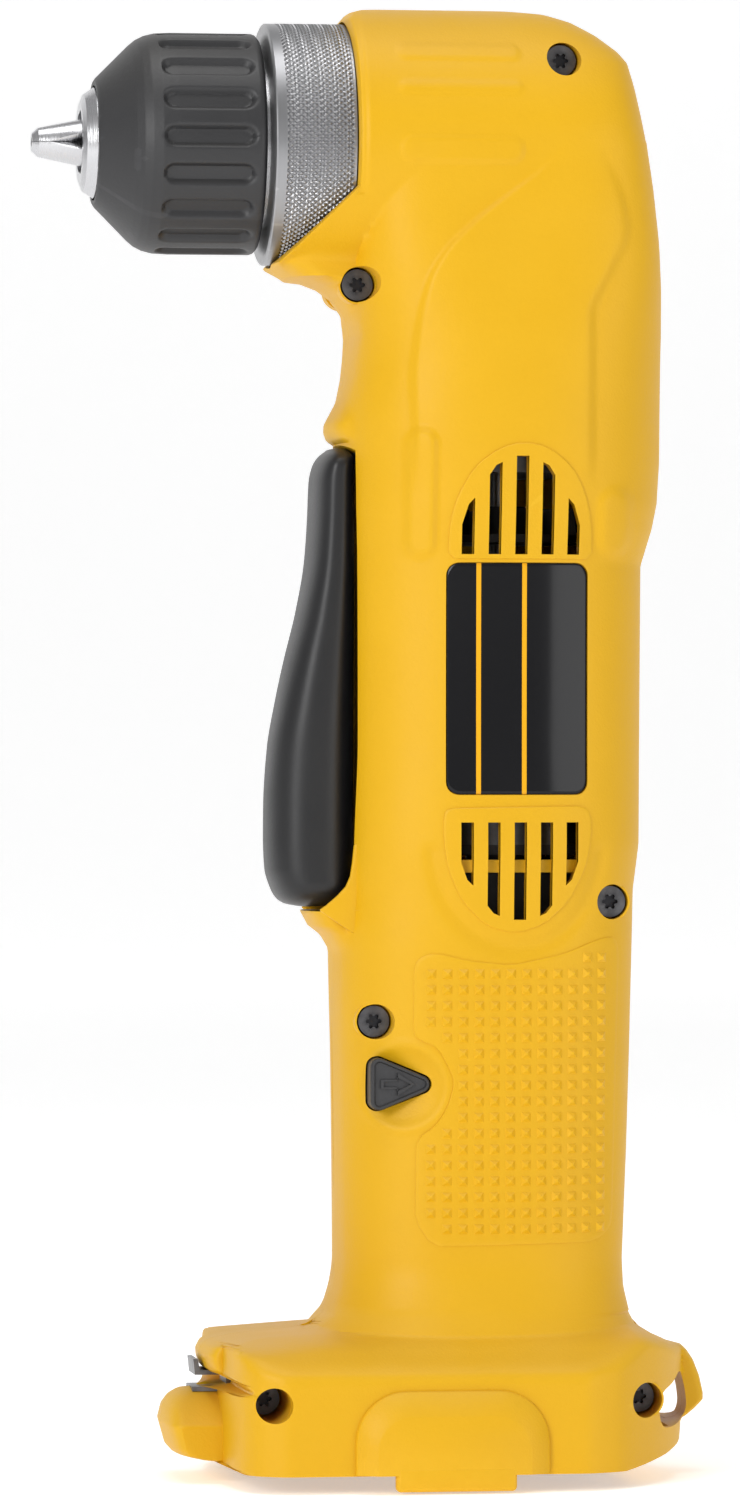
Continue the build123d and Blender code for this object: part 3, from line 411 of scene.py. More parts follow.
@dataclass(frozen=True)
class Finish:
    """One finish: its colours, gloss and fine texture."""

    slot: str
    colour: tuple[float, float, float]
    tint: tuple[float, float, float]
    worn: tuple[float, float, float]
    roughness: float = 0.5
    spread: float = 0.1
    metallic: float = 0.0
    grain: Grain = Grain.ERODED
    scale: float = 2200.0
    bump: float = 0.25
    wear: float = 0.3
    dust: float = 0.0
    coat: float = 0.0
    specular: float = 0.5
    striped: bool = False

    def build(self, effects: SurfaceEffects) -> bpy.types.Material:
        """Makes the material: grain to height and roughness, tint by blotch, then wear and dust."""
        made = bpy.data.materials.new(self.slot)
        made.use_nodes = True
        tree = made.node_tree
        tree.nodes.clear()
        out = tree.nodes.new("ShaderNodeOutputMaterial")
        shader = tree.nodes.new("ShaderNodeBsdfPrincipled")
        tree.links.new(shader.outputs[0], out.inputs["Surface"])
        place = tree.nodes.new("ShaderNodeTexCoord").outputs["Object"]
        stretch = tree.nodes.new("ShaderNodeMapping")
        stretch.inputs["Scale"].default_value = GRAIN_STRETCH[self.grain]
        tree.links.new(place, stretch.inputs["Vector"])
        grain = self._placed(tree, effects.grain, Vector=stretch.outputs[0], Scale=self.scale,
                             Roughness=self.roughness, Spread=self.spread)
        colour = mix_colours(tree, grain.outputs["Blotch"], (*self.colour, 1), (*self.tint, 1))
        if self.striped:
            bands = self._placed(tree, effects.stripes, Vector=place)
            colour = mix_colours(tree, bands.outputs["Mask"], colour, STRIPE_YELLOW)
        worn = self._placed(tree, effects.wear, Vector=place, Colour=colour, Worn=(*self.worn, 1),
                            Amount=self.wear)
        colour = worn.outputs["Colour"]
        if self.dust:
            film = self._placed(tree, effects.dust, Vector=place, Colour=colour, Amount=self.dust)
            colour = film.outputs["Colour"]
        tree.links.new(colour, shader.inputs["Base Color"])
        tree.links.new(grain.outputs["Roughness"], shader.inputs["Roughness"])
        shader.inputs["Metallic"].default_value = self.metallic
        shader.inputs["Specular IOR Level"].default_value = self.specular
        shader.inputs["Coat Weight"].default_value = self.coat
        shader.inputs["Coat Roughness"].default_value = COAT_ROUGHNESS
        bump = tree.nodes.new("ShaderNodeBump")
        bump.inputs["Strength"].default_value = self.bump
        bump.inputs["Distance"].default_value = BUMP_DEPTH
        tree.links.new(grain.outputs["Height"], bump.inputs["Height"])
        tree.links.new(bump.outputs[0], shader.inputs["Normal"])
        return made

    @staticmethod
    def _placed(tree: bpy.types.NodeTree, group: bpy.types.NodeTree, **values: object) -> bpy.types.Node:
        """Places a shared group and feeds its sockets from sockets or plain values."""
        node = tree.nodes.new("ShaderNodeGroup")
        node.node_tree = group
        for label, value in values.items():
            if isinstance(value, bpy.types.NodeSocket):
                tree.links.new(value, node.inputs[label])
            else:
                node.inputs[label].default_value = value
        return node


FINISHES: tuple[Finish, ...] = (
    Finish("yellow_housing", (0.645, 0.352, 0.003), (0.675, 0.374, 0.005), (0.80, 0.49, 0.03), 0.45, 0.10,
           scale=2400, bump=0.34, wear=0.35, dust=0.04, specular=0.26),
    Finish("black_plastic", (0.017, 0.017, 0.018), (0.024, 0.024, 0.026), (0.07, 0.07, 0.075), 0.46, 0.12,
           grain=Grain.SATIN, scale=1800, bump=0.22, wear=0.35, dust=0.03, specular=0.5),
    Finish("black_paddle", (0.008, 0.008, 0.009), (0.012, 0.012, 0.013), (0.05, 0.05, 0.055), 0.40, 0.10,
           grain=Grain.SATIN, scale=1800, bump=0.12, wear=0.3, dust=0.02, specular=0.42),
    Finish("plate_black", (0.004, 0.004, 0.005), (0.006, 0.006, 0.007), (0.03, 0.03, 0.03), 0.16, 0.05,
           grain=Grain.PLAIN, scale=900, bump=0.03, wear=0.1, coat=0.12, specular=0.2, striped=True),
    Finish("screw_black", (0.030, 0.030, 0.033), (0.055, 0.055, 0.060), (0.30, 0.30, 0.31), 0.36, 0.14,
           metallic=0.9, grain=Grain.SATIN, scale=1500, bump=0.2, wear=0.6),
    Finish("clip_black", (0.05, 0.05, 0.055), (0.08, 0.08, 0.085), (0.35, 0.35, 0.36), 0.34, 0.12,
           metallic=0.9, grain=Grain.SATIN, scale=1200, bump=0.2, wear=0.6),
    Finish("bright_steel", (0.50, 0.50, 0.52), (0.60, 0.60, 0.61), (0.8, 0.8, 0.8), 0.25, 0.10, metallic=1.0,
           grain=Grain.TURNED_X, scale=700, bump=0.25, wear=0.3),
    Finish("knurl_steel", (0.30, 0.30, 0.31), (0.37, 0.37, 0.38), (0.62, 0.62, 0.62), 0.36, 0.08,
           metallic=1.0, grain=Grain.SATIN, scale=900, bump=0.08, wear=0.5),
    Finish("dark_steel", (0.22, 0.22, 0.235), (0.32, 0.32, 0.33), (0.6, 0.6, 0.6), 0.30, 0.12, metallic=1.0,
           grain=Grain.TURNED_X, scale=600, bump=0.2, wear=0.4),
    Finish("can_steel", (0.075, 0.075, 0.08), (0.11, 0.11, 0.115), (0.4, 0.4, 0.4), 0.42, 0.12, metallic=1.0,
           grain=Grain.TURNED_Z, scale=500, bump=0.2, wear=0.3),
    Finish("alloy", (0.16, 0.165, 0.17), (0.22, 0.22, 0.23), (0.5, 0.5, 0.5), 0.5, 0.14, metallic=1.0,
           grain=Grain.CAST, scale=900, bump=0.5, wear=0.3),
    Finish("sintered", (0.24, 0.235, 0.23), (0.32, 0.31, 0.30), (0.5, 0.5, 0.5), 0.52, 0.14, metallic=0.9,
           grain=Grain.CAST, scale=1600, bump=0.5, wear=0.3),
    Finish("copper", (0.72, 0.30, 0.13), (0.80, 0.38, 0.18), (0.9, 0.55, 0.35), 0.32, 0.12, metallic=1.0,
           grain=Grain.TURNED_Z, scale=900, bump=0.3, wear=0.3),
    Finish("brass", (0.72, 0.52, 0.20), (0.80, 0.60, 0.26), (0.9, 0.75, 0.4), 0.32, 0.12, metallic=1.0,
           grain=Grain.SATIN, scale=900, bump=0.2, wear=0.3),
    Finish("graphite", (0.035, 0.035, 0.037), (0.055, 0.055, 0.06), (0.1, 0.1, 0.1), 0.6, 0.12,
           grain=Grain.CAST, scale=1800, bump=0.4, wear=0.2),
    Finish("magnet", (0.045, 0.045, 0.05), (0.07, 0.07, 0.075), (0.12, 0.12, 0.12), 0.62, 0.12,
           grain=Grain.CAST, scale=1500, bump=0.4, wear=0.2),
    Finish("fan_plastic", (0.014, 0.014, 0.015), (0.022, 0.022, 0.024), (0.05, 0.05, 0.05), 0.45, 0.1,
           grain=Grain.SATIN, scale=1500, bump=0.2, wear=0.2),
    Finish("switch_plastic", (0.03, 0.03, 0.033), (0.045, 0.045, 0.05), (0.08, 0.08, 0.08), 0.45, 0.1,
           grain=Grain.SATIN, scale=1600, bump=0.2, wear=0.2),
    Finish("lead_red", (0.42, 0.012, 0.010), (0.5, 0.02, 0.016), (0.6, 0.1, 0.08), 0.42, 0.1,
           grain=Grain.SATIN, scale=1400, bump=0.15, wear=0.2),
    Finish("lead_black", (0.012, 0.012, 0.012), (0.02, 0.02, 0.02), (0.05, 0.05, 0.05), 0.42, 0.1,
           grain=Grain.SATIN, scale=1400, bump=0.15, wear=0.2),
)

NODE_FINISH: dict[str, str] = {
    "shell_screws": "screw_black", "bit_clip": "clip_black", "gear_case": "alloy", "gear_case_cover": "alloy",
    "ring_gear": "sintered", "sun_gear": "dark_steel", "planet_gear_1": "sintered",
    "planet_gear_2": "sintered", "planet_gear_3": "sintered", "planet_pins": "dark_steel",
    "planet_carrier": "dark_steel",
    "pinion_bearing": "bright_steel", "bevel_pinion": "dark_steel", "crown_gear": "dark_steel",
    "spindle": "bright_steel", "spindle_bearing_inner_race": "bright_steel",
    "spindle_bearing_outer_race": "bright_steel", "spindle_bearing_balls": "bright_steel",
    "spindle_rear_bush": "brass", "chuck_body": "bright_steel", "chuck_screw": "screw_black",
    "chuck_nut": "dark_steel", "chuck_jaw_1": "bright_steel", "chuck_jaw_2": "bright_steel",
    "chuck_jaw_3": "bright_steel", "motor_can": "can_steel", "motor_magnets": "magnet",
    "motor_end_bell": "switch_plastic", "motor_upper_bush": "brass", "motor_lower_bush": "brass",
    "armature_core": "dark_steel", "armature_windings": "copper", "commutator": "copper",
    "motor_shaft": "dark_steel", "cooling_fan": "fan_plastic", "carbon_brushes": "graphite",
    "brush_boxes": "brass", "brush_springs": "bright_steel",
    "switch_body": "switch_plastic", "switch_plunger": "switch_plastic", "heat_sink": "alloy",
    "selector_arm": "switch_plastic", "contact_block": "switch_plastic", "contact_blades": "copper",
    "battery_lead_red": "lead_red", "battery_lead_black": "lead_black",
    "motor_lead_red": "lead_red", "motor_lead_black": "lead_black"}
BODIES: dict[str, list[str]] = frame["record"]["behaviour"]["bodies"]
PIN_BODY: str = next(name for name, nodes in BODIES.items() if "paddle_pin" in nodes)
STRIPE_YELLOW = (0.76, 0.37, 0.009, 1)
COAT_ROUGHNESS = 0.12
BUMP_DEPTH = 0.00012


@dataclass
class PaintShop:
    """Every finish by its slot, and how a piece or a node gets one."""

    materials: dict[str, bpy.types.Material] = field(default_factory=dict)

    def build(self) -> "PaintShop":
        """Makes each material once over the shared effects."""
        effects = SurfaceEffects().build()
        self.materials = {finish.slot: finish.build(effects) for finish in FINISHES}
        return self

    def dress(self, item: bpy.types.Object, slot: str, body: Optional[str] = None) -> bpy.types.Object:
        """Gives a piece its finish and, for a new piece, the body that it moves with."""
        item.data.materials.clear()
        item.data.materials.append(self.materials[slot])
        if body:
            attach(item, body)
            log.info("%s: %d faces, %s on %s", item.name, len(item.data.polygons), slot, body)
        return item

    def piece(self, solid: Solid, name: str, slot: str, body: str, angle: float = 32.0, width: float = 0.0
              ) -> bpy.types.Object:
        """Makes a solid into a finished piece.

        Args:
            solid: the closed shape.
            name: the piece's name.
            slot: its finish.
            body: what it moves with.
            angle: edges sharper than this stay crisp, in degrees.
            width: how wide its edges are rounded, in millimetres, or 0.

        Returns:
            The object.
        """
        item = solid.mesh(name)
        if width:
            bevel(item, width)
        return self.dress(shade(item, angle), slot, body)

    def dress_nodes(self) -> None:
        """Gives every node that stays in view its finish."""
        for name, slot in NODE_FINISH.items():
            self.dress(frame["nodes"][name], slot)
        log.info("%d nodes dressed", len(NODE_FINISH))


# ------------------------------------------------------------------ housing form
@dataclass(frozen=True)
class HousingForm:
    """Half width of the housing at every place (x, z) of its side view, in millimetres."""

    axis_z: float = 236.2
    head_r: float = 24.2
    wall: float = 2.4
    low_z: float = 2.7
    left_edge: tuple[tuple[float, float], ...] = (
        (2.7, -26.5), (3.3, -29), (3.8, -32.5), (4.4, -35.2), (5.6, -36.3), (9.8, -37.5), (12.6, -37.1),
        (14.4, -36.1), (15.3, -34.9), (15.8, -34), (16.2, -30), (16.5, -25.6), (17, -25.2), (17.6, -25.6),
        (18.2, -26.5), (18.5, -28), (18.9, -29.3), (19.6, -30.1), (20.8, -30.5), (22.1, -30.6), (23.5, -29.9),
        (24.4, -28.3), (25, -25.2), (25.3, -23.5), (25.7, -19), (26.1, -14.5), (26.6, -11.8), (27.5, -10),
        (29, -8.2), (33.5, -6.8), (38.4, -6.2), (93.1, -6.9), (95.8, -8.5), (97.5, -10.7), (99.9, -12),
        (100.25, -12), (100.6, -6.9), (183.2, -6.2), (183.7, -7.3), (185.3, -7.9), (186.7, -7.8), (191, -5.5),
        (194.6, -4.5), (202, -3.6), (204, -3.9), (206.5, -5), (209, -6.8), (210.8, -9.3), (212, -12.5),
        (212.2, -15.1), (214.3, -17.9), (214.6, -18.2), (227.6, -5.2), (258.1, -5.2), (259.4, -4.2),
        (260.0, -2.4), (260.4, 2))
    right_edge: tuple[tuple[float, float], ...] = (
        (2.7, 42), (3.4, 46), (4.5, 51), (5.6, 54.4), (6.2, 55.2), (9.2, 55.8), (9.8, 57), (11.2, 58.7),
        (12.7, 60.2), (13.9, 60.2), (17, 59.5), (19.8, 58.4), (21.6, 57.2), (22.6, 56.1), (23.1, 53.4),
        (24.1, 51.8), (24.9, 49.5), (27.8, 46.8), (29, 46.1), (33.5, 45.1), (38.4, 44.9), (57.9, 45.7),
        (75.1, 46.2), (93, 46.6), (104, 46.9), (112, 47.9), (130.8, 48.1), (161.4, 48.3), (167.9, 50.3),
        (172.5, 51.2), (179.8, 51.6), (202, 51.6), (210, 51.3), (218.6, 50.6), (227.7, 49.5), (236.7, 48.1),
        (245.8, 46.3), (250.4, 45.2), (252.4, 43.6), (255.4, 39.9), (257.9, 35.8), (259.5, 31.3),
        (260.15, 25.1), (260.4, 18))
    barrel: tuple[tuple[float, float, float, float, float], ...] = (
        (20, -15, 52, 29, 2.8), (26, -11, 47.5, 26, 2.7), (31, -7.6, 45.4, 23.6, 2.6),
        (38.4, -6.3, 44.9, 21.8, 2.6), (57.9, -6.4, 45.7, 21.5, 2.6), (75.1, -6.6, 46.2, 22, 2.6),
        (93, -7, 46.6, 22.8, 2.6), (104, -6.6, 46.9, 23.4, 2.5), (112, -6.4, 47.9, 24, 2.5),
        (130.8, -6, 48.1, 24, 2.4), (161.4, -6, 48.3, 24.4, 2.4), (168, -6, 50.4, 25.2, 2.4),
        (173, -6, 51.3, 25.8, 2.4), (186, -6, 51.6, 26, 2.5), (199, -4.4, 51.6, 25.8, 2.7),
        (208, -4.2, 51.4, 25.2, 3.2), (216, -4.6, 51, 24.6, 3.8), (226, -5, 49.8, 24.3, 4.2),
        (236.2, -5.2, 48.2, 24.2, 4.4))
    foot_plan: tuple[tuple[float, float], ...] = (
        (-27.6, 12), (-27.3, 22), (-26, 29), (-22.5, 33.4), (-18, 35), (33, 35), (38.6, 33), (46, 25.5),
        (52, 15.5), (55, 7), (55.6, 4.6))
    foot_roof: tuple[tuple[float, float], ...] = (
        (16.8, 40), (20.2, 36), (20.8, 34.8), (25, 26.5), (26.6, 22.5), (27.6, 18))
    foot_top: tuple[tuple[float, float], ...] = (
        (-27.6, 25.2), (-10, 26.6), (44, 27.4), (50, 25.2), (55.4, 22.6))
    bulge_edge: tuple[tuple[float, float], ...] = (
        (160, 4.2), (184.8, 4.2), (193.5, 3.9), (200.5, 4.5), (204.2, 5), (210.8, 6.6), (216.2, 9.6),
        (221.6, 14.9), (225.9, 20.3), (231, 27.0), (238.5, 34.1))
    bulge_back: tuple[tuple[float, float], ...] = (
        (160, 35), (205, 35), (213, 38.5), (220, 41.5), (240, 34.2))

    def left(self, z: Array) -> Array:
        """Front edge of the side view at each height."""
        return np.interp(z, *np.array(self.left_edge).T)

    def right(self, z: Array) -> Array:
        """Back edge of the side view at each height."""
        return np.interp(z, *np.array(self.right_edge).T)

    def _barrel(self, x: Array, z: Array, inset: float) -> Array:
        """Handle and motor housing: superellipse sections whose sizes run smoothly with height."""
        rows = np.array(self.barrel)
        x0, x1, b, n = (through(z, list(zip(rows[:, 0], rows[:, k]))) for k in range(1, 5))
        x1 = np.where(z > 29, np.maximum(x1, self.right(z) + 0.15), x1)
        x0, x1, b = x0 + inset, x1 - inset, b - inset
        t = np.clip(np.abs(x - (x0 + x1) / 2) / ((x1 - x0) / 2), 0, 1)
        return np.where((z > self.axis_z) | (z < 20), 0, b * (1 - t**n) ** (1 / n))

    def _head(self, x: Array, z: Array, inset: float) -> Array:
        """Gear head and collar: a lying cylinder, rounded off to the back by a superellipse."""
        r = self.head_r - inset
        base = np.sqrt(np.maximum(r**2 - (z - self.axis_z) ** 2, 0))
        s = np.clip((x - 21.5) / (self.right(z) - inset - 21.5), 0, 1)
        front = -2.8 if inset else -30.0
        return np.where(x < front, 0, base * (1 - s**4.4) ** (1 / 4.4))

    def _foot(self, x: Array, z: Array, inset: float) -> Array:
        """Foot: plan half width, cut down by the sloping roof and closed at the top."""
        plan = np.maximum(through(x, self.foot_plan) - inset, 0)
        lift = 1.25 * inset
        roof = through(z + lift, self.foot_roof)
        top = np.interp(x, *np.array(self.foot_top).T) - lift
        close = rounded((top - z) / 3.0, 3.0)
        inside = (x > -27.6 + inset) & (x < 55.6 - inset) & (z < top)
        return np.where(inside, blend_min(plan, roof, 4.0) * close, 0)

    def _small_parts(self, x: Array, z: Array) -> Array:
        """Chin, finger guards, bit arms and strap eye: bars of fixed half width, rounded at their edge."""
        into, back = x - self.left(z), self.right(z) - x
        chin = np.where((z > 200) & (z < 222) & (x < 8), 13.0 * rounded(into / 7, 2.6), 0)
        by_paddle = ((z > 183.4) & (z < 197) | (z > 93) & (z < 100.9)) & (x < 4)
        guard = np.where(by_paddle, 11.5 * rounded(into / 4, 2.4), 0)
        crown = np.sqrt(np.clip((15.9 - z) / 6.1, 0, 1))
        lower = np.where((z < 16.2) & (x < -20), 13.0 * crown * rounded(into / 2.6, 2.4), 0)
        upper = np.where((z >= 16.2) & (z < 25.6) & (x < -18), 13.0 * rounded(into / 2.2, 2.4), 0)
        eye = np.where((z > 8.9) & (z < 24.2) & (x > 46), 4.5 * rounded(back / 1.6, 2.4), 0)
        return np.maximum.reduce([chin, guard, lower, upper, eye])

    def _relief(self, x: Array, z: Array) -> Array:
        """Raised and sunk areas: motor bulge, soft bars by the vents, bars on the head, thumb dish."""
        bulge = 0.85 * ease((x - through(z, self.bulge_edge)) / 1.3)
        bulge *= 1 - ease((x - through(z, self.bulge_back)) / 2.2)
        bulge *= ease((z - 172) / 12) * (1 - ease((z - 222) / 15))
        bars = 0.9 * pill(x, z, 2.8, 9.2, 161.8, 185.6, 1.7) + 0.75 * pill(x, z, 36.6, 45.1, 162, 175.8, 2.6)
        for z0, z1 in ((249.7, 253.3), (243.6, 246.4), (231.3, 236.6)):
            bars = bars + 0.32 * pill(x, z, 2.0, 24.5, z0, z1, 0.9)
        away = np.hypot(x - 3.4, z - 69.5)
        dish = -1.9 * np.clip(1 - (away / 6.9) ** 2, 0, 1) ** 0.8
        rim = 0.22 * np.exp(-((away - 7.7) / 0.55) ** 2)
        bead = 0.35 * np.exp(-((x + 4.3) / 0.9) ** 4) * (z > 226)
        around = np.hypot((x - 23.3) / 15.2, (z - 112.5) / 18.5)
        halo = -0.55 * np.exp(-((around - 1) / 0.09) ** 2) * (z < 112)
        return bulge + bars + dish + rim - bead + halo

    def half_width(self, x: Array, z: Array, inset: float = 0.0) -> Array:
        """Half width at (x, z).

        Args:
            x: places along the drill's front-to-back line.
            z: heights.
            inset: wall thickness taken off, for the room inside.

        Returns:
            Distance from the split plane to the surface, 0 outside the side view.
        """
        x, z = np.broadcast_arrays(np.asarray(x, float), np.asarray(z, float))
        h = np.maximum(self._barrel(x, z, inset), self._head(x, z, inset))
        h = blend_max(h, self._foot(x, z, inset), 5.0)
        if inset:
            return h
        h = blend_max(h, self._small_parts(x, z), 2.0)
        h = h + self._relief(x, z) * np.clip((h - 6) / 6, 0, 1)
        edge = np.minimum(x - self.left(z), self.right(z) - x)
        return np.maximum(h, 0) * rounded(edge / 1.0, 3.0)


FORM = HousingForm()
SCREWS: tuple[tuple[float, float, float, float], ...] = (
    (32, 250.4, 17.9, 2.6), (-3.6, 210.8, 13, 2.2), (41, 101.9, 16.9, 2.4), (-1.1, 80.9, 16.3, 2.4),
    (-21.2, 15, 33.5, 15), (45.6, 14.6, 25.5, 8))
UPPER_ARCH = ((10.7, 162.2), (10.9, 168.6), (12.2, 173.3), (15.2, 178.5), (19.4, 181.6), (23.5, 182.7),
              (28.1, 181.8), (32.4, 178.5), (34.8, 174.3), (36.2, 169.1), (36.6, 162.2))
LOWER_ARCH = ((10, 117.1), (10.7, 118.5), (35, 118.9), (36.5, 117.5), (36.5, 112.7), (35.4, 107.5),
              (32.4, 102.1), (27.9, 98.1), (22.9, 96.5), (17.7, 97.7), (13.3, 102.1), (10.7, 107.9),
              (10, 112.8))
GRIP_PANEL = ((5.1, 90.8), (5.1, 79.2), (5.6, 78.0), (9.2, 76.6), (11.8, 71.7), (12, 69.6), (10.9, 65.8),
              (8.6, 62.4), (5.6, 60.4), (5.4, 46.1), (8.4, 41.6), (37.8, 42.1), (40.9, 44.2), (41.4, 46.6),
              (42.4, 92.8), (42, 94.9), (40.9, 95.8), (37.9, 95.3), (31.7, 92.9), (22.1, 90.9), (14.6, 91.7),
              (8.7, 93.1), (6.2, 92.4))
STRAP_HOLE = ((49.6, 8.8), (55.6, 9.4), (56.6, 11.4), (56.4, 14), (55.8, 17), (54.6, 18.6), (52.4, 16.8),
              (49, 15.4), (48.4, 12))
LATCH_TAB = ((-0.4, 0.05), (-0.4, 4.5), (20.8, 4.5), (20.8, 0.05))
PADDLE_CHEEK = ((-10.6, 100.5), (-9.4, 101.3), (-7.4, 103.0), (-5.9, 104.6), (-5.1, 106.4), (-4.7, 109.0),
                (-4.4, 112.0), (-2.6, 113.0), (-2.6, 96.0), (-4.6, 96.4), (-8.2, 98.8))
ARCH_LIFT, PANEL_LIFT, PAD_SINK = 0.34, 0.3, 0.9
STUD_PITCH = 2.8
STUD_LAYERS = ((0.85, -0.5), (0.85, 0.30), (0.18, 0.95))
VENT_MIDDLE, VENT_PITCH, VENT_HALF = 23.5, 4.7, 1.1


def overlay(solid: Solid, outline: Array, centre: tuple[float, float], side: int, lift: float, sink: float,
            spacing: float = 0.8) -> Solid:
    """Adds a closed pad that follows the housing's surface.

    The pad is a fan of rings from the centre out to the outline, first on top (surface plus lift), then back
    underneath (surface less sink), so it closes on itself.

    Args:
        solid: what the pad is added to.
        outline: (n, 2) points that every ray from the centre meets once.
        centre: the fan's middle.
        side: -1 for the left of the drill, 1 for the right.
        lift: height above the surface.
        sink: depth of its underside below the surface.
        spacing: distance between rings.

    Returns:
        The same solid.
    """
    mid = np.array(centre)
    rings = max(4, int(np.linalg.norm(outline - mid, axis=1).mean() / spacing))
    top = np.concatenate([np.linspace(0, 0.97, rings), [0.985, 1.0]])
    share = np.concatenate([top, [1.0], np.linspace(0.9, 0, 4)])
    spots = mid + share[:, None, None] * (outline - mid)
    rise = np.concatenate([lift - np.where(top > 0.99, min(0.12, abs(lift) * 0.5), 0), [-sink] * 5])
    height = FORM.half_width(spots[..., 0], spots[..., 1]) + rise[:, None]
    grid = np.stack([spots[..., 0], side * height, spots[..., 1]], axis=-1)
    return solid.add_grid(grid, wrap_columns=True)


def vent_cutters(side: int) -> Solid:
    """Ten slots: upright bars whose ends slant up to the middle one, five above the plate and five below."""
    solid = Solid()
    y0, y1 = sorted((side * 9.0, side * 40.0))
    tops = ((168.2, 172.9), (176.9, 179.1), (180.2, 180.2), (179.1, 176.9), (172.9, 168.2))
    lows = ((109.0, 104.9), (101.4, 99.6), (98.9, 98.9), (99.6, 101.4), (104.9, 109.0))
    for base, ends, far in ((163.0, tops, max), (116.0, lows, min)):
        for k, (a, b) in enumerate(ends):
            x = VENT_MIDDLE + VENT_PITCH * (k - 2)
            peak = far(a, b) * 0.5 + (a + b) * 0.25
            x0, x1 = x - VENT_HALF, x + VENT_HALF
            slot = [(x0, base), (x1, base), (x1, b), (x, peak), (x0, a)]
            prism(solid, np.array(slot), y0, y1)
    return solid


def button_outline(grow: float) -> Array:
    """Rounded triangle of the direction button, its point to the back: corners carried out by arcs."""
    corners = np.array([(-0.8, 66.9), (6.6, 70.0), (-0.8, 73.1)])
    points = []
    for k, corner in enumerate(corners):
        before, after = corners[k - 1] - corner, corners[(k + 1) % 3] - corner
        a0 = math.atan2(-before[0], before[1])
        a1 = math.atan2(after[0], -after[1])
        a1 += 2 * math.pi if a1 < a0 else 0
        a = np.linspace(a0, a1, 12) + math.pi
        points.append(corner + (1.5 + grow) * np.column_stack([np.cos(a), np.sin(a)]))
    return np.vstack(points)


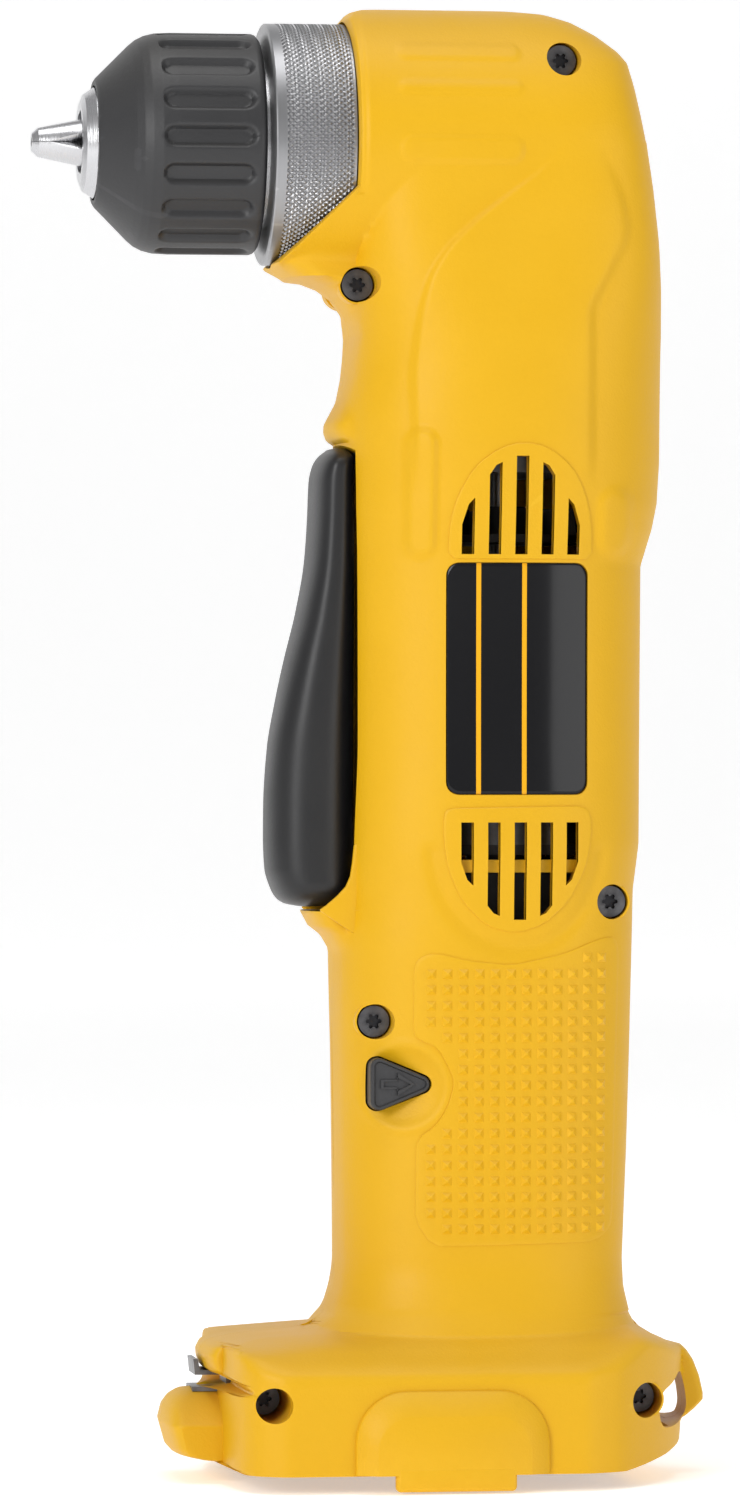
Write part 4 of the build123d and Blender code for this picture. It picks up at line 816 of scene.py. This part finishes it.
@dataclass
class HousingHalf:
    """One half of the clamshell: wall, vents, screw wells, name plate recess and raised details."""

    side: int
    shop: PaintShop
    columns: int = 84
    gap: float = 0.06

    @property
    def word(self) -> str:
        """Name of this side."""
        return "left" if self.side < 0 else "right"

    def _rows(self) -> Array:
        """Heights of the grid's rows, close together where the form changes fast."""
        spans = ((2.7, 31, 0.36), (31, 60, 0.95), (60, 80, 0.6), (80, 96, 0.9), (96, 101.4, 0.3),
                 (101.4, 160, 0.9), (160, 183, 0.6), (183, 209, 0.5), (209, 216, 0.3), (216, 228, 0.45),
                 (228, 254, 0.5),
                 (254, 259.4, 0.3), (259.4, 260.4, 0.12))
        return np.concatenate([np.arange(a, b, s) for a, b, s in spans] + [[260.4]])

    def _solid_half(self, rows: Array, columns: int, inset: float, name: str) -> bpy.types.Object:
        """Closed half body: the side surface on a grid, then flat to the split plane.

        Args:
            rows: heights of the grid's rows.
            columns: points along each row, closest at both edges.
            inset: 0 for the outer body, the wall for the room inside.
            name: the object's name.

        Returns:
            The object.
        """
        if inset:
            z = np.repeat(rows[:, None], columns, 1)
            u = np.linspace(0, 1, columns)
            x0, x1 = self._room_edges(z)
            x = x0 + (x1 - x0) * (u - 0.80 * np.sin(2 * math.pi * u) / (2 * math.pi))
        else:
            x = self._columns(rows)
            z = np.repeat(rows[:, None], x.shape[1], 1)
        height = FORM.half_width(x, np.maximum(z, FORM.low_z), inset)
        flat = self.gap if not inset else -2.0
        front = np.stack([x, self.side * np.maximum(height, flat), z], axis=-1)
        if inset:
            front[:, [0, -1], 1] = 0.0
        back = front.copy()
        back[..., 1] = self.side * flat
        solid = Solid()
        solid.add_grid(front)
        solid.add_grid(back, flip=True)
        for a, b in ((front[0], back[0]), (front[-1], back[-1])):
            solid.add_grid(np.stack([a, b]))
        for k in (0, -1):
            solid.add_grid(np.stack([front[:, k], back[:, k]]))
        return solid.mesh(name)

    def _columns(self, rows: Array) -> Array:
        """Places of the grid's points along each row.

        Each row runs from the front edge through fixed stops to the back edge, so that the inner columns
        stand upright however the edges swing. The outer spans crowd towards the edge by a power law.
        """
        x0, x1 = FORM.left(rows), FORM.right(rows)
        near = np.interp(rows, (0, 22, 31, 250, 258, 260.4), (-17, -17, -0.5, -0.5, 1, 5.0))
        far = np.minimum(np.interp(rows, (0, 22, 31, 246, 256, 260.4), (41, 41, 40, 40, 28, 12)), x1 - 2.0)
        wall = np.maximum(-27.75, x0 + 0.12 * (near - x0))
        step = np.maximum(-27.25, x0 + 0.16 * (near - x0))
        even = lambda n: np.linspace(0, 1, n, endpoint=False)
        spans = ((x0, wall, even(12) ** 1.6), (wall, step, even(2)), (step, near, even(16)),
                 (near, far, even(self.columns)), (far, x1, 1 - (1 - even(22)) ** 1.8))
        parts = [a[:, None] + (b - a)[:, None] * t for a, b, t in spans]
        return np.concatenate(parts + [x1[:, None]], axis=1)

    @staticmethod
    def _room_edges(z: Array) -> tuple[Array, Array]:
        """Front and back of the room inside, by height."""
        front = ((-1, -25), (21, -25), (24.5, -12), (31, -5.2), (38.4, -3.9), (236, -2.8), (256.5, -2.6),
                 (257.9, 2))
        back = ((-1, 43), (3.5, 44), (6.5, 52), (20.5, 52), (24, 44.8), (31, 42.8), (38.4, 42.5),
                (57.9, 43.3), (104, 44.5), (161, 45.9), (168, 48), (186, 49.2), (202, 49.2), (218, 48.2),
                (236, 45.7), (246, 43.4), (252, 39.6), (256, 33), (257.9, 22))
        return np.interp(z, *np.array(front).T), np.interp(z, *np.array(back).T)

    def _cutters(self) -> Solid:
        """Everything cut from the wall: vents, screw holes, plate recess, button hole and strap hole."""
        side = self.side
        solid = vent_cutters(side)
        prism(solid, button_outline(0.28), *sorted((side * 9.3, side * 42.3)))
        prism(solid, soften(STRAP_HOLE), *sorted((side * -1.0, side * 45.0)))
        if side < 0:
            for x, z, surface, depth in SCREWS:
                prism(solid, ring_of(x, z, 3.1, 3.1), -45.0, -(surface - depth - 2.2))
        overlay(solid, self.plate_outline(0.0), (23.1, 141.2), side, 1.5, 0.7, spacing=1.2)
        return solid

    @staticmethod
    def plate_outline(inset: float) -> Array:
        """Round-cornered rectangle of the name plate."""
        x0, x1, z0, z1, r = 10.4 + inset, 35.8 - inset, 120.8 + inset, 161.6 - inset, 2.2
        corners = ((x1 - r, z1 - r, 0), (x0 + r, z1 - r, 1), (x0 + r, z0 + r, 2), (x1 - r, z0 + r, 3))
        points = [(x + r * math.cos(a), z + r * math.sin(a)) for x, z, q in corners
                  for a in np.linspace(q * math.pi / 2, (q + 1) * math.pi / 2, 7)]
        return soften(points, 0, 0.6)

    def _pocket(self) -> Solid:
        """Room for the paddle in the front of the handle."""
        outline = np.array([(-30, 100.2), (6.0, 100.2), (6.0, 112), (1.2, 160), (1.2, 179.6), (-3.4, 181.2),
                            (-7.9, 184), (-30, 184)], float)
        return prism(Solid(), outline[::-1], -12.1, 12.1)

    def _collar_bore(self) -> Solid:
        """Bore of the collar, which the chuck's ring turns in."""
        a = np.linspace(0, 2 * math.pi, 96, endpoint=False)
        x = np.array([-40.0, -3.4])
        grid = np.stack([np.repeat(x[:, None], 96, 1), 21.95 * np.cos(a) + 0 * x[:, None],
                         FORM.axis_z + 21.95 * np.sin(a) + 0 * x[:, None]], axis=-1)
        solid = Solid().add_grid(grid, wrap_columns=True)
        solid.faces += [list(range(96)), list(range(96, 192))]
        return solid

    def build(self) -> None:
        """Makes the shell and its pads and puts them on the housing body."""
        word, side = self.word, self.side
        shell = self._solid_half(self._rows(), self.columns, 0.0, f"{word}_shell_skin")
        room_rows = np.concatenate([[-1.0], np.arange(1, 30, 1.2), np.arange(30, 250, 3.0),
                                    np.arange(250, 257.8, 1.0), [257.9]])
        cut(shell, self._solid_half(room_rows, 44, FORM.wall, "room"))
        cut(shell, self._cutters().mesh("cutters"))
        cut(shell, self._pocket().mesh("pocket"))
        cut(shell, self._collar_bore().mesh("bore"))
        shade(shell)
        self.shop.dress(shell, "yellow_housing", "housing")
        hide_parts(f"{word}_shell")
        self._pads()
        self._wells()
        self._motor_ribs()
        self._latch()
        self._paddle_cheek()
        self._plate()

    def _pads(self) -> None:
        """Raised fields with a crisp border: both vent arches and the grip panel."""
        arches = Solid()
        overlay(arches, soften(UPPER_ARCH, 1), (23.6, 170), self.side, ARCH_LIFT, PAD_SINK)
        overlay(arches, soften(LOWER_ARCH, 1), (23.3, 108), self.side, ARCH_LIFT, PAD_SINK)
        item = arches.mesh(f"{self.word}_vent_arches")
        cut(item, vent_cutters(self.side).mesh("slots"))
        self.shop.dress(shade(item), "yellow_housing", "housing")
        panel = overlay(Solid(), soften(GRIP_PANEL, 1), (22, 72), self.side, PANEL_LIFT, PAD_SINK)
        self.shop.piece(panel, f"{self.word}_grip_panel", "yellow_housing", "housing")
        self.shop.dress(self._studs().mesh(f"{self.word}_grip_studs"), "yellow_housing", "housing")

    def _studs(self) -> Solid:
        """Small blunt pyramids in rows over the grip panel, each square to the handle's side."""
        xs, zs = np.meshgrid(np.arange(8.0, 41.5, STUD_PITCH), np.arange(44.6, 94.5, STUD_PITCH),
                             indexing="ij")
        spots = np.column_stack([xs.ravel(), zs.ravel()])
        outline = soften(GRIP_PANEL, 1, 0.6)
        near = np.linalg.norm(spots[:, None] - outline[None], axis=-1).min(axis=1)
        a, b = outline, np.roll(outline, -1, axis=0)
        crossed = ((a[None, :, 1] > spots[:, None, 1]) != (b[None, :, 1] > spots[:, None, 1])) & (
            spots[:, None, 0] < a[None, :, 0] + (b - a)[None, :, 0] * (spots[:, None, 1] - a[None, :, 1])
            / np.where(np.abs((b - a)[None, :, 1]) < 1e-9, 1e-9, (b - a)[None, :, 1]))
        spots = spots[(crossed.sum(axis=1) % 2 == 1) & (near > 1.35)]
        corner = np.array([(-1, -1), (1, -1), (1, 1), (-1, 1)], float)
        points = []
        for half, rise in STUD_LAYERS:
            p = spots[:, None] + half * corner
            h = FORM.half_width(p[..., 0], p[..., 1]) if rise < 0.5 else FORM.half_width(
                spots[:, 0], spots[:, 1])[:, None] + 0 * p[..., 0]
            points.append(np.stack([p[..., 0], self.side * (h + rise), p[..., 1]], axis=-1))
        block = np.concatenate(points, axis=1)
        n = len(spots)
        faces = [[12 * k + i for i in f] for k in range(n) for f in
                 ([3, 2, 1, 0], [0, 1, 5, 4], [1, 2, 6, 5], [2, 3, 7, 6], [3, 0, 4, 7],
                  [4, 5, 9, 8], [5, 6, 10, 9], [6, 7, 11, 10], [7, 4, 8, 11], [8, 9, 10, 11])]
        return Solid().add(block.reshape(-1, 3), faces)

    def _wells(self) -> None:
        """Cups that the screws sit in: tubes with a narrower mouth for the shank."""
        side, solid = self.side, Solid()
        shank, bore, outer = 1.6, 3.12, 3.45
        for x, z, surface, depth in SCREWS:
            floor = -(surface - depth - 2.2) if side < 0 else surface - 4.0
            rim, under = side * (surface - 1.7), floor - side * 1.2
            turned_y(solid, x, z, [(shank, floor), (bore, floor), (bore, rim), (outer, rim), (outer, under),
                                   (shank, under), (shank, floor)])
        self.shop.piece(solid, f"{self.word}_screw_wells", "yellow_housing", "housing")

    def _motor_ribs(self) -> None:
        """Two ribs inside: one round the motor's bore, and a stiffener below the switch."""
        ribs, n = Solid(), 60
        for z0, z1, bore in ((107.2, 109.4, 16.9), (60.2, 62.2, 0.0)):
            a = np.linspace(0.02, math.pi - 0.02, n)
            x = 23.2 + 20.8 * np.cos(a)
            outer = FORM.half_width(x, np.full(n, (z0 + z1) / 2), 1.6)
            if bore:
                inner_x, inner_y = 23.5 + bore * np.cos(a), bore * np.sin(a)
            else:
                inner_x, inner_y = np.clip(x, 2.0, 40.0), np.minimum(outer - 2.5, 17.0)
            outer = np.maximum(outer, inner_y + 0.4)
            corners = ((inner_x, inner_y, z0), (x, outer, z0), (x, outer, z1), (inner_x, inner_y, z1))
            loops = [np.stack([px, self.side * np.maximum(py, 0.1), np.full(n, pz)], axis=-1)
                     for px, py, pz in corners]
            ribs.add_grid(np.stack(loops), wrap_rows=True)
            base = ribs.count - 4 * n
            ribs.faces += [[base + k * n for k in range(4)], [base + k * n + n - 1 for k in (3, 2, 1, 0)]]
        self.shop.piece(ribs, f"{self.word}_motor_ribs", "yellow_housing", "housing")

    def _latch(self) -> None:
        """Panel over the battery latch: an arched outline sloped in to a flat field, with a tab below."""
        a = np.linspace(0, math.pi / 2, 12)
        outlines = []
        for x0, x1, top, radius in ((-7.2, 26.8, 17.4, 9.0), (-3.4, 23.2, 12.9, 6.0)):
            bend = np.column_stack([np.cos(a), np.sin(a)]) * radius
            outlines.append(np.concatenate([[(x0, 2.9)], (x0 + radius, top - radius) + bend * (-1, 1),
                                            (x1 - radius, top - radius) + bend[::-1], [(x1, 2.9)]]))
        outer, inner = outlines
        rows = [(outer, 33.4), (outer, 35.5), (outer * 0.94 + inner * 0.06, 35.9),
                (outer * 0.1 + inner * 0.9, 37.5), (inner, 37.68)]
        panel = Solid().add_grid(np.stack([np.insert(line, 1, self.side * y, axis=1) for line, y in rows]),
                                 wrap_columns=True)
        n = len(outer)
        panel.faces += [list(range(n)), list(range(panel.count - n, panel.count))]
        self.shop.piece(panel, f"{self.word}_latch_panel", "yellow_housing", "housing", 40)
        tab = prism(Solid(), np.array(LATCH_TAB), *sorted((self.side * 35.2, self.side * 37.75)))
        self.shop.piece(tab, f"{self.word}_latch_lip", "yellow_housing", "housing", 60, 0.8)

    def _paddle_cheek(self) -> None:
        """Thin wall beside the paddle's lower end, its free edge curved up to the handle."""
        wall = prism(Solid(), np.array(PADDLE_CHEEK), *sorted((self.side * 11.7, self.side * 12.9)))
        self.shop.piece(wall, f"{self.word}_paddle_cheek", "yellow_housing", "housing", 60, 0.35)

    def _plate(self) -> None:
        """Gloss name plate with two thin upright stripes and no lettering."""
        plate = overlay(Solid(), self.plate_outline(0.12), (23.1, 141.2), self.side, -0.28, 0.66, spacing=1.0)
        item = self.shop.piece(plate, f"{self.word}_plate_face", "plate_black", "housing")
        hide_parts(f"{self.word}_name_plate")


# ------------------------------------------------------------------ controls
@dataclass
class Paddle:
    """Long trigger paddle: superellipse sections between its front and back outlines."""

    shop: PaintShop
    half: float = 11.4
    power: float = 2.7
    front: tuple[tuple[float, float], ...] = (
        (101.0, -13.0), (101.4, -15.0), (102.6, -16.6), (104.6, -17.6), (107.6, -18.45), (113, -18.7),
        (119, -18.65), (129, -18), (137.1, -16.6), (144.4, -15), (153.4, -12.75), (162.5, -11.15),
        (170, -10.6), (176.6, -10.3), (179.2, -9.7), (180.8, -8.8), (182.1, -7.3))
    back: tuple[tuple[float, float], ...] = (
        (101.0, -9.6), (101.4, -6.0), (102.2, -4.2), (104, -3.4), (116, -3.2), (176, -3.2), (180.4, -3.2),
        (182.1, -4.6))

    def build(self) -> None:
        """Makes the paddle and hangs it on its body."""
        z = np.concatenate([101.0 + 7.0 * (1 - np.cos(np.linspace(0, math.pi / 2, 26))),
                            np.linspace(108.8, 176.5, 90),
                            177 + 5.1 * np.sin(np.linspace(0, math.pi / 2, 22))])
        a = np.linspace(0, 2 * math.pi, 96, endpoint=False)
        x0, x1 = through(z, self.front), through(z, self.back)
        half = self.half * rounded((z - 100.7) / 5.0, 2.6) * rounded((182.5 - z) / 4.0, 2.6)
        wave = lambda v: np.sign(v) * np.abs(v) ** (2 / self.power)
        grid = np.stack([((x0 + x1) / 2)[:, None] + ((x1 - x0) / 2)[:, None] * wave(np.cos(a)),
                         half[:, None] * wave(np.sin(a)), np.repeat(z[:, None], 96, 1)], axis=-1)
        solid = Solid().add_grid(grid, wrap_columns=True)
        solid.faces += [list(range(96)), list(range(solid.count - 96, solid.count))]
        item = self.shop.piece(solid, "paddle_skin", "black_paddle", "paddle", 50)
        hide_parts("trigger_paddle")
        ends = [(0.02, 12.9), (1.1, 12.9), (1.45, 12.5), (1.45, -12.5), (1.1, -12.9), (0.02, -12.9)]
        pin = turned_y(Solid(), -2.2, 181.2, ends, 28)
        pin.faces += [list(range(28)), list(range(pin.count - 28, pin.count))]
        rod = self.shop.piece(pin, "pivot_pin", "dark_steel", PIN_BODY)
        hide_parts("paddle_pin")


@dataclass
class DirectionButton:
    """Push-through button: rounded triangle with a raised border and an arrow on each end."""

    shop: PaintShop
    reach: float = 19.5
    arrow: tuple[tuple[float, float], ...] = (
        (-0.6, 69.2), (2.4, 69.2), (2.4, 68.0), (5.4, 70.0), (2.4, 72.0), (2.4, 70.8), (-0.6, 70.8))

    def build(self) -> None:
        """Makes the button and puts it on the reverser."""
        solid = Solid()
        whole, inner = button_outline(0.0), button_outline(-0.75)
        prism(solid, whole, -self.reach + 0.5, self.reach - 0.5)
        prism(solid, button_outline(0.7), -4.0, 4.0)
        item = self.shop.piece(solid, "button_core", "black_plastic", "reverser")
        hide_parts("direction_button")
        arrow = np.array(self.arrow)
        hollow = (arrow - arrow.mean(axis=0)) * np.array([0.80, 0.62]) + arrow.mean(axis=0)
        border = [(whole, 0.9), (whole, 0.25), (button_outline(-0.2), 0.0), (button_outline(-0.55), 0.0),
                  (inner, 0.35), (inner, 0.9)]
        mark = [(arrow, 0.8), (arrow, 0.05), (hollow, 0.05), (hollow, 0.8)]
        trims = Solid()
        for side in (-1, 1):
            for levels in (border, mark):
                loops = [np.insert(line, 1, side * (self.reach - drop), axis=1) for line, drop in levels]
                trims.add_grid(np.stack(loops), wrap_rows=True, wrap_columns=True)
        self.shop.piece(trims, "button_trim", "black_plastic", "reverser", 40)


# ------------------------------------------------------------------ chuck
@dataclass
class Chuck:
    """Keyless chuck: fluted grip sleeve and knurled steel ring, both turned about the spindle."""

    shop: PaintShop
    axis_z: float = 236.2
    flutes: int = 18
    sleeve: tuple[tuple[float, float], ...] = (
        (-49.3, 10.2), (-49.3, 11.0), (-49.0, 11.5), (-43.2, 17.3), (-42.0, 18.3), (-40.6, 19.0),
        (-38.8, 19.45), (-36, 19.6), (-21.6, 19.6), (-21.0, 19.4), (-20.5, 18.8), (-20.45, 16.7),
        (-28.6, 16.7), (-28.6, 16.0), (-33.5, 16.0), (-40.4, 13.5), (-44.8, 10.2))

    def _turned(self, x: Array, r: Array, angles: Array) -> Array:
        """Grid of circles: radius r about the spindle at each x, where r may change round the circle."""
        return np.stack([x + 0 * angles, r * np.sin(angles), self.axis_z + r * np.cos(angles)], axis=-1)

    def build_sleeve(self) -> None:
        """Makes the sleeve: its turned profile less eighteen round-ended flutes."""
        p = np.array(self.sleeve)
        run = np.concatenate([[0], np.cumsum(np.linalg.norm(np.diff(p, axis=0), axis=1))])
        s = np.unique(np.concatenate([run, np.linspace(0, run[-1], 130)]))
        x, r = np.interp(s, run, p[:, 0]), np.interp(s, run, p[:, 1])
        angles = np.linspace(0, 2 * math.pi, self.flutes * 22, endpoint=False)
        x, r, a = x[:, None], r[:, None], angles[None]
        pitch = 2 * math.pi / self.flutes
        across = ((a / pitch) % 1.0 - 0.5) * pitch * 19.6
        dz = np.maximum(np.abs(x + 30.6) - 6.2, 0)
        depth = 1.15 * ease((2.15 - np.hypot(across, dz)) / 1.0)
        outside = (r > 17.5) & (s[:, None] < run[9])
        skin = Solid().add_grid(self._turned(x, r - np.where(outside, depth, 0), a), wrap_rows=True,
                                wrap_columns=True)
        item = self.shop.piece(skin, "grip_sleeve", "black_plastic", "chuck_grip", 40)
        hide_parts("chuck_sleeve")

    def build_ring(self) -> None:
        """Makes the ring: two crossed sets of V grooves leave a diamond knurl behind a smooth band."""
        outer = 21.5
        x = np.concatenate([[-19.4, -19.2, -19.0], np.linspace(-18.8, -17.3, 5), np.linspace(-17.1, -5.6, 62),
                            [-5.4, -5.0]])
        r = np.where(x <= -19.2, 20.9 + (x + 19.4) * 2, outer - 0.05)
        a = np.linspace(0, 2 * math.pi, 980, endpoint=False)[None]
        round_run = a * outer
        pitch = 2 * math.pi * outer / 122
        wave = lambda v: 1 - np.abs((v / pitch) % 1.0 * 2 - 1)
        cutting = np.minimum(wave(round_run + x[:, None] * 0.9), wave(round_run - x[:, None] * 0.9))
        knurl = np.where((x[:, None] > -17.2) & (x[:, None] < -5.5), 0.62 * (cutting - 0.5), 0)
        skin = self._turned(x[:, None], r[:, None] + np.minimum(knurl, 0.05), a)
        bore = self._turned(np.array([-5.0, -19.4])[:, None], np.array([14.85, 14.85])[:, None], a)
        solid = Solid().add_grid(np.concatenate([skin, bore]), wrap_rows=True, wrap_columns=True)
        item = solid.mesh("knurled_ring")
        shade(item, 20)
        self.shop.dress(item, "knurl_steel", "output")
        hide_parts("chuck_knurled_ring")


# ------------------------------------------------------------------ studio
@dataclass
class Studio:
    """Pale sweep, soft lamps and the camera."""

    target: tuple[float, float, float] = (0.0002, 0.0, 0.1287)
    distance: float = 1.370
    azimuth: float = -8.0

    def build(self) -> None:
        """Makes the floor and wall in one sweep, the lamps and the camera."""
        self._sweep()
        self._lamps()
        self._camera()

    @staticmethod
    def _sweep() -> None:
        """Floor that turns up into a wall through a quarter circle."""
        a = np.linspace(0, math.pi / 2, 24)
        y = np.concatenate([[-4000, 3000], 3000 + 900 * np.sin(a), [3900]])
        z = np.concatenate([[-0.4, -0.4], -0.4 + 900 * (1 - np.cos(a)), [4000]])
        x = np.array([-4000.0, 4000.0])
        grid = np.stack(np.broadcast_arrays(x[None], y[:, None], z[:, None]), axis=-1)
        floor = shade(Solid().add_grid(grid).mesh("studio_sweep"), 60)
        paper = bpy.data.materials.new("paper")
        paper.use_nodes = True
        nodes, links = paper.node_tree.nodes, paper.node_tree.links
        shader = nodes["Principled BSDF"]
        noise, ramp = nodes.new("ShaderNodeTexNoise"), nodes.new("ShaderNodeValToRGB")
        place = nodes.new("ShaderNodeTexCoord")
        noise.inputs["Scale"].default_value = 3.0
        ramp.color_ramp.elements[0].color = (0.90, 0.90, 0.90, 1)
        ramp.color_ramp.elements[1].color = (0.93, 0.93, 0.93, 1)
        links.new(place.outputs["Object"], noise.inputs["Vector"])
        links.new(noise.outputs["Fac"], ramp.inputs["Fac"])
        links.new(ramp.outputs["Color"], shader.inputs["Base Color"])
        shader.inputs["Roughness"].default_value = 0.95
        shader.inputs["Specular IOR Level"].default_value = 0.1
        shader.inputs["Emission Color"].default_value = (1, 1, 1, 1)
        shader.inputs["Emission Strength"].default_value = 0.42
        floor.data.materials.append(paper)

    def _lamps(self) -> None:
        """Large soft lamps (name, place, size, power), all aimed at the drill, and an even pale world."""
        for name, place, size, power in (
                ("key_lamp", (-0.95, -1.05, 0.55), 0.6, 10.6), ("front_fill", (0.95, -0.95, 0.15), 0.8, 5.0),
                ("top_lamp", (-0.1, -0.2, 1.25), 0.7, 5.0), ("back_strip", (0.95, 0.35, 0.4), 0.5, 0.6)):
            light = bpy.data.lights.new(name, "AREA")
            light.energy, light.size = power, size
            lamp = bpy.data.objects.new(name, light)
            lamp.location = place
            lamp.rotation_euler = (Vector(self.target) - Vector(place)).to_track_quat("-Z", "Y").to_euler()
            bpy.context.scene.collection.objects.link(lamp)
        world = bpy.data.worlds.new("room_light")
        world.use_nodes = True
        world.node_tree.nodes["Background"].inputs["Color"].default_value = (1, 1, 1, 1)
        world.node_tree.nodes["Background"].inputs["Strength"].default_value = 0.42
        bpy.context.scene.world = world
        bpy.context.scene.view_settings.view_transform = "Standard"

    def _camera(self) -> None:
        """Long lens, level, a little to the left of square on."""
        data = bpy.data.cameras.new("camera")
        data.sensor_fit, data.sensor_height, data.sensor_width = "VERTICAL", 24.0, 24.0
        data.lens = 24.0 * self.distance / 0.267
        data.clip_start, data.clip_end = 0.05, 50.0
        a = math.radians(self.azimuth)
        camera = bpy.data.objects.new("camera", data)
        target = Vector(self.target)
        camera.location = target + Vector((math.sin(a), -math.cos(a), 0)) * self.distance
        camera.rotation_euler = (target - camera.location).to_track_quat("-Z", "Y").to_euler()
        bpy.context.scene.collection.objects.link(camera)
        bpy.context.scene.camera = camera


def main() -> None:
    """Builds every sub-assembly in order."""
    logging.basicConfig(level=logging.INFO, format="%(message)s")
    shop = PaintShop().build()
    shop.dress_nodes()
    HousingHalf(-1, shop).build()
    HousingHalf(1, shop).build()
    Paddle(shop).build()
    DirectionButton(shop).build()
    chuck = Chuck(shop)
    chuck.build_sleeve()
    chuck.build_ring()
    Studio().build()


if __name__ == "__main__":
    main()
